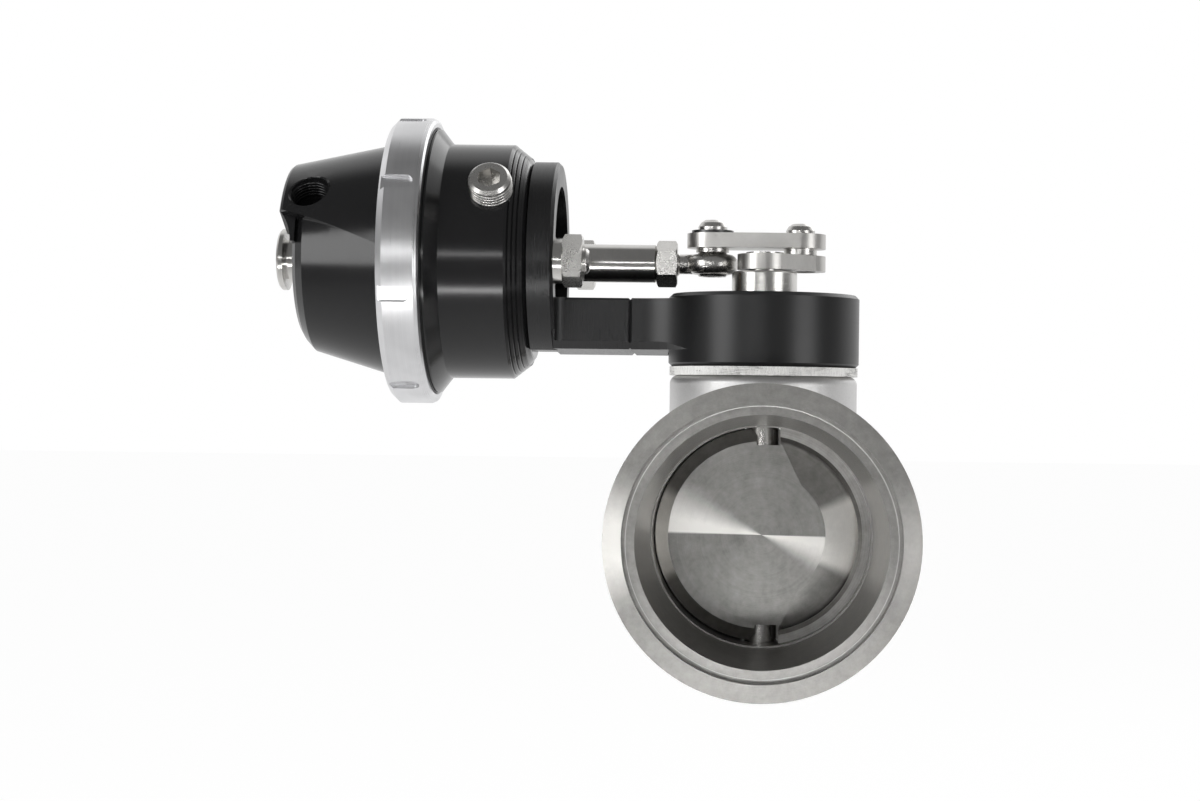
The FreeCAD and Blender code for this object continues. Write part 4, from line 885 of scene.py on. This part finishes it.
class WASTEGATE_OT_stage(bpy.types.Operator):
    """Sets the floor, the light and the camera of the photograph"""

    bl_idname = "wastegate.stage"
    bl_label = "Set the stage"

    def execute(self, context):
        stage = context.scene.wastegate_stage
        self.floor(stage)
        self.world(stage)
        self.lamps(stage)
        self.camera(context, stage)
        context.scene.view_settings.view_transform = "Standard"
        return {"FINISHED"}

    def by_ray(self, tree, fill, polished, camera):
        """A strength for rays from matt faces, one for polished or clear ones, and one for the camera."""
        path = tree.nodes.new("ShaderNodeLightPath")
        either = tree.nodes.new("ShaderNodeMath")
        either.operation = "MAXIMUM"
        tree.links.new(path.outputs["Is Glossy Ray"], either.inputs[0])
        tree.links.new(path.outputs["Is Transmission Ray"], either.inputs[1])
        inner = tree.nodes.new("ShaderNodeMapRange")
        inner.inputs["To Min"].default_value = fill
        feed(tree, inner.inputs["To Max"], polished)
        tree.links.new(either.outputs[0], inner.inputs["Value"])
        outer = tree.nodes.new("ShaderNodeMapRange")
        outer.inputs["To Max"].default_value = camera
        tree.links.new(inner.outputs[0], outer.inputs["To Min"])
        tree.links.new(path.outputs["Is Camera Ray"], outer.inputs["Value"])
        return outer.outputs[0]

    def depth_level(self, tree, source, near, far, stage):
        """From the front level to white, by the Y that source gives."""
        split = tree.nodes.new("ShaderNodeSeparateXYZ")
        tree.links.new(source, split.inputs[0])
        level = tree.nodes.new("ShaderNodeMapRange")
        level.interpolation_type = "SMOOTHSTEP"
        level.inputs["From Min"].default_value = near
        level.inputs["From Max"].default_value = far
        level.inputs["To Min"].default_value = stage.front_level
        level.inputs["To Max"].default_value = 1.0
        tree.links.new(split.outputs[1], level.inputs["Value"])
        return level.outputs[0]

    def floor(self, stage):
        """A sheet of white paper, which polished faces see as grey in front of the part."""
        mesh = bpy.data.meshes.new("floor")
        half, level = FLOOR_HALF, -stage.floor_drop
        corners = [(-half, -half, level), (half, -half, level), (half, half, level), (-half, half, level)]
        mesh.from_pydata(corners, [], [(0, 1, 2, 3)])
        floor = link("floor", mesh)
        finish = Finish("stage_paper")
        fibre = finish.noise(finish.point(), 40.0, 3.0)
        finish.coat(base_color=finish.shade(fibre, stage.paper, tint(stage.paper, 1.02)), roughness=0.9)
        tree = finish.tree
        glow = tree.nodes.new("ShaderNodeEmission")
        glow.inputs["Color"].default_value = (1.0, 1.0, 1.0, 1.0)
        place = tree.nodes.new("ShaderNodeNewGeometry").outputs["Position"]
        polished = self.depth_level(tree, place, -0.45, 0.10, stage)
        tree.links.new(self.by_ray(tree, 0.0, polished, PAPER_SEEN), glow.inputs["Strength"])
        mix = tree.nodes.new("ShaderNodeMixShader")
        tree.links.new(self.by_ray(tree, 0.0, PAPER_GLOW, PAPER_GLOW), mix.inputs[0])
        tree.links.new(finish.shader.outputs[0], mix.inputs[1])
        tree.links.new(glow.outputs[0], mix.inputs[2])
        tree.links.new(mix.outputs[0], tree.nodes["Material Output"].inputs["Surface"])
        mesh.materials.append(finish.material)

    def world(self, stage):
        """An even fill, which polished faces see as white behind the part and grey in front."""
        world = bpy.data.worlds.new("studio")
        bpy.context.scene.world = world
        world.use_nodes = True
        tree = world.node_tree
        background = tree.nodes["Background"]
        background.inputs["Color"].default_value = (1.0, 1.0, 1.0, 1.0)
        direction = tree.nodes.new("ShaderNodeTexCoord").outputs["Generated"]
        polished = self.depth_level(tree, direction, 0.05, 0.50, stage)
        tree.links.new(self.by_ray(tree, stage.fill_light, polished, 1.0), background.inputs["Strength"])

    def lamps(self, stage):
        """Soft lamps to the left and right of the camera, and three strips above, below and behind."""
        for name, bearing, rise, away, width, height, share in LAMPS:
            bearing, rise = math.radians(bearing), math.radians(rise)
            level = math.cos(rise)
            facing = Vector((math.sin(bearing) * level, -math.cos(bearing) * level, math.sin(rise)))
            data = bpy.data.lights.new(name, "AREA")
            data.shape = "RECTANGLE"
            data.size, data.size_y = width, height
            data.energy = stage.lamp_level * share * math.pi * width * height
            lamp = link(name, data)
            lamp.visible_camera = False
            turn = (-facing).to_track_quat("-Z", "Y").to_matrix().to_4x4()
            lamp.matrix_world = Matrix.Translation(LAMPS_AIM + facing * away) @ turn

    def camera(self, context, stage):
        """The photograph's view, straight on and a little rolled."""
        data = bpy.data.cameras.new("photo_camera")
        data.sensor_width = 36.0
        data.lens = stage.lens
        data.shift_x = FRAME_SHIFT_X
        data.shift_y = FRAME_SHIFT_Y
        data.clip_start, data.clip_end = 0.01, 20.0
        camera = link("photo_camera", data)
        lean, level = math.sin(stage.roll), math.cos(stage.roll)
        turn = Matrix(((level, -lean, 0.0), (0.0, 0.0, -1.0), (lean, level, 0.0))).to_4x4()
        place = Vector((stage.camera_x, SHAFT_AT.y - stage.camera_distance, stage.camera_z))
        camera.matrix_world = Matrix.Translation(place) @ turn
        context.scene.camera = camera


OPERATORS = (
    WASTEGATE_OT_valve, WASTEGATE_OT_bracket, WASTEGATE_OT_actuator, WASTEGATE_OT_fasteners,
    WASTEGATE_OT_spring, WASTEGATE_OT_stage,
)


class WASTEGATE_PT_sidebar(bpy.types.Panel):
    """Lists the steps in the order they are made"""

    bl_label = "Wastegate"
    bl_idname = "WASTEGATE_PT_sidebar"
    bl_space_type = "VIEW_3D"
    bl_region_type = "UI"
    bl_category = "Wastegate"

    def draw(self, context):
        for operator in OPERATORS:
            self.layout.operator(operator.bl_idname)


SETTINGS = (
    ("wastegate_stage", StageSettings),
    ("wastegate_metal", MetalSettings),
    ("wastegate_threads", ThreadSettings),
)
CLASSES = tuple(group for _, group in SETTINGS) + OPERATORS + (WASTEGATE_PT_sidebar,)


def register():
    for cls in CLASSES:
        bpy.utils.register_class(cls)
    for name, group in SETTINGS:
        setattr(bpy.types.Scene, name, PointerProperty(type=group))


def unregister():
    for name, _ in SETTINGS:
        delattr(bpy.types.Scene, name)
    for cls in reversed(CLASSES):
        bpy.utils.unregister_class(cls)


def main():
    register()
    for operator in OPERATORS:
        family, name = operator.bl_idname.split(".")
        getattr(getattr(bpy.ops, family), name)()


if __name__ == "__main__":
    main()
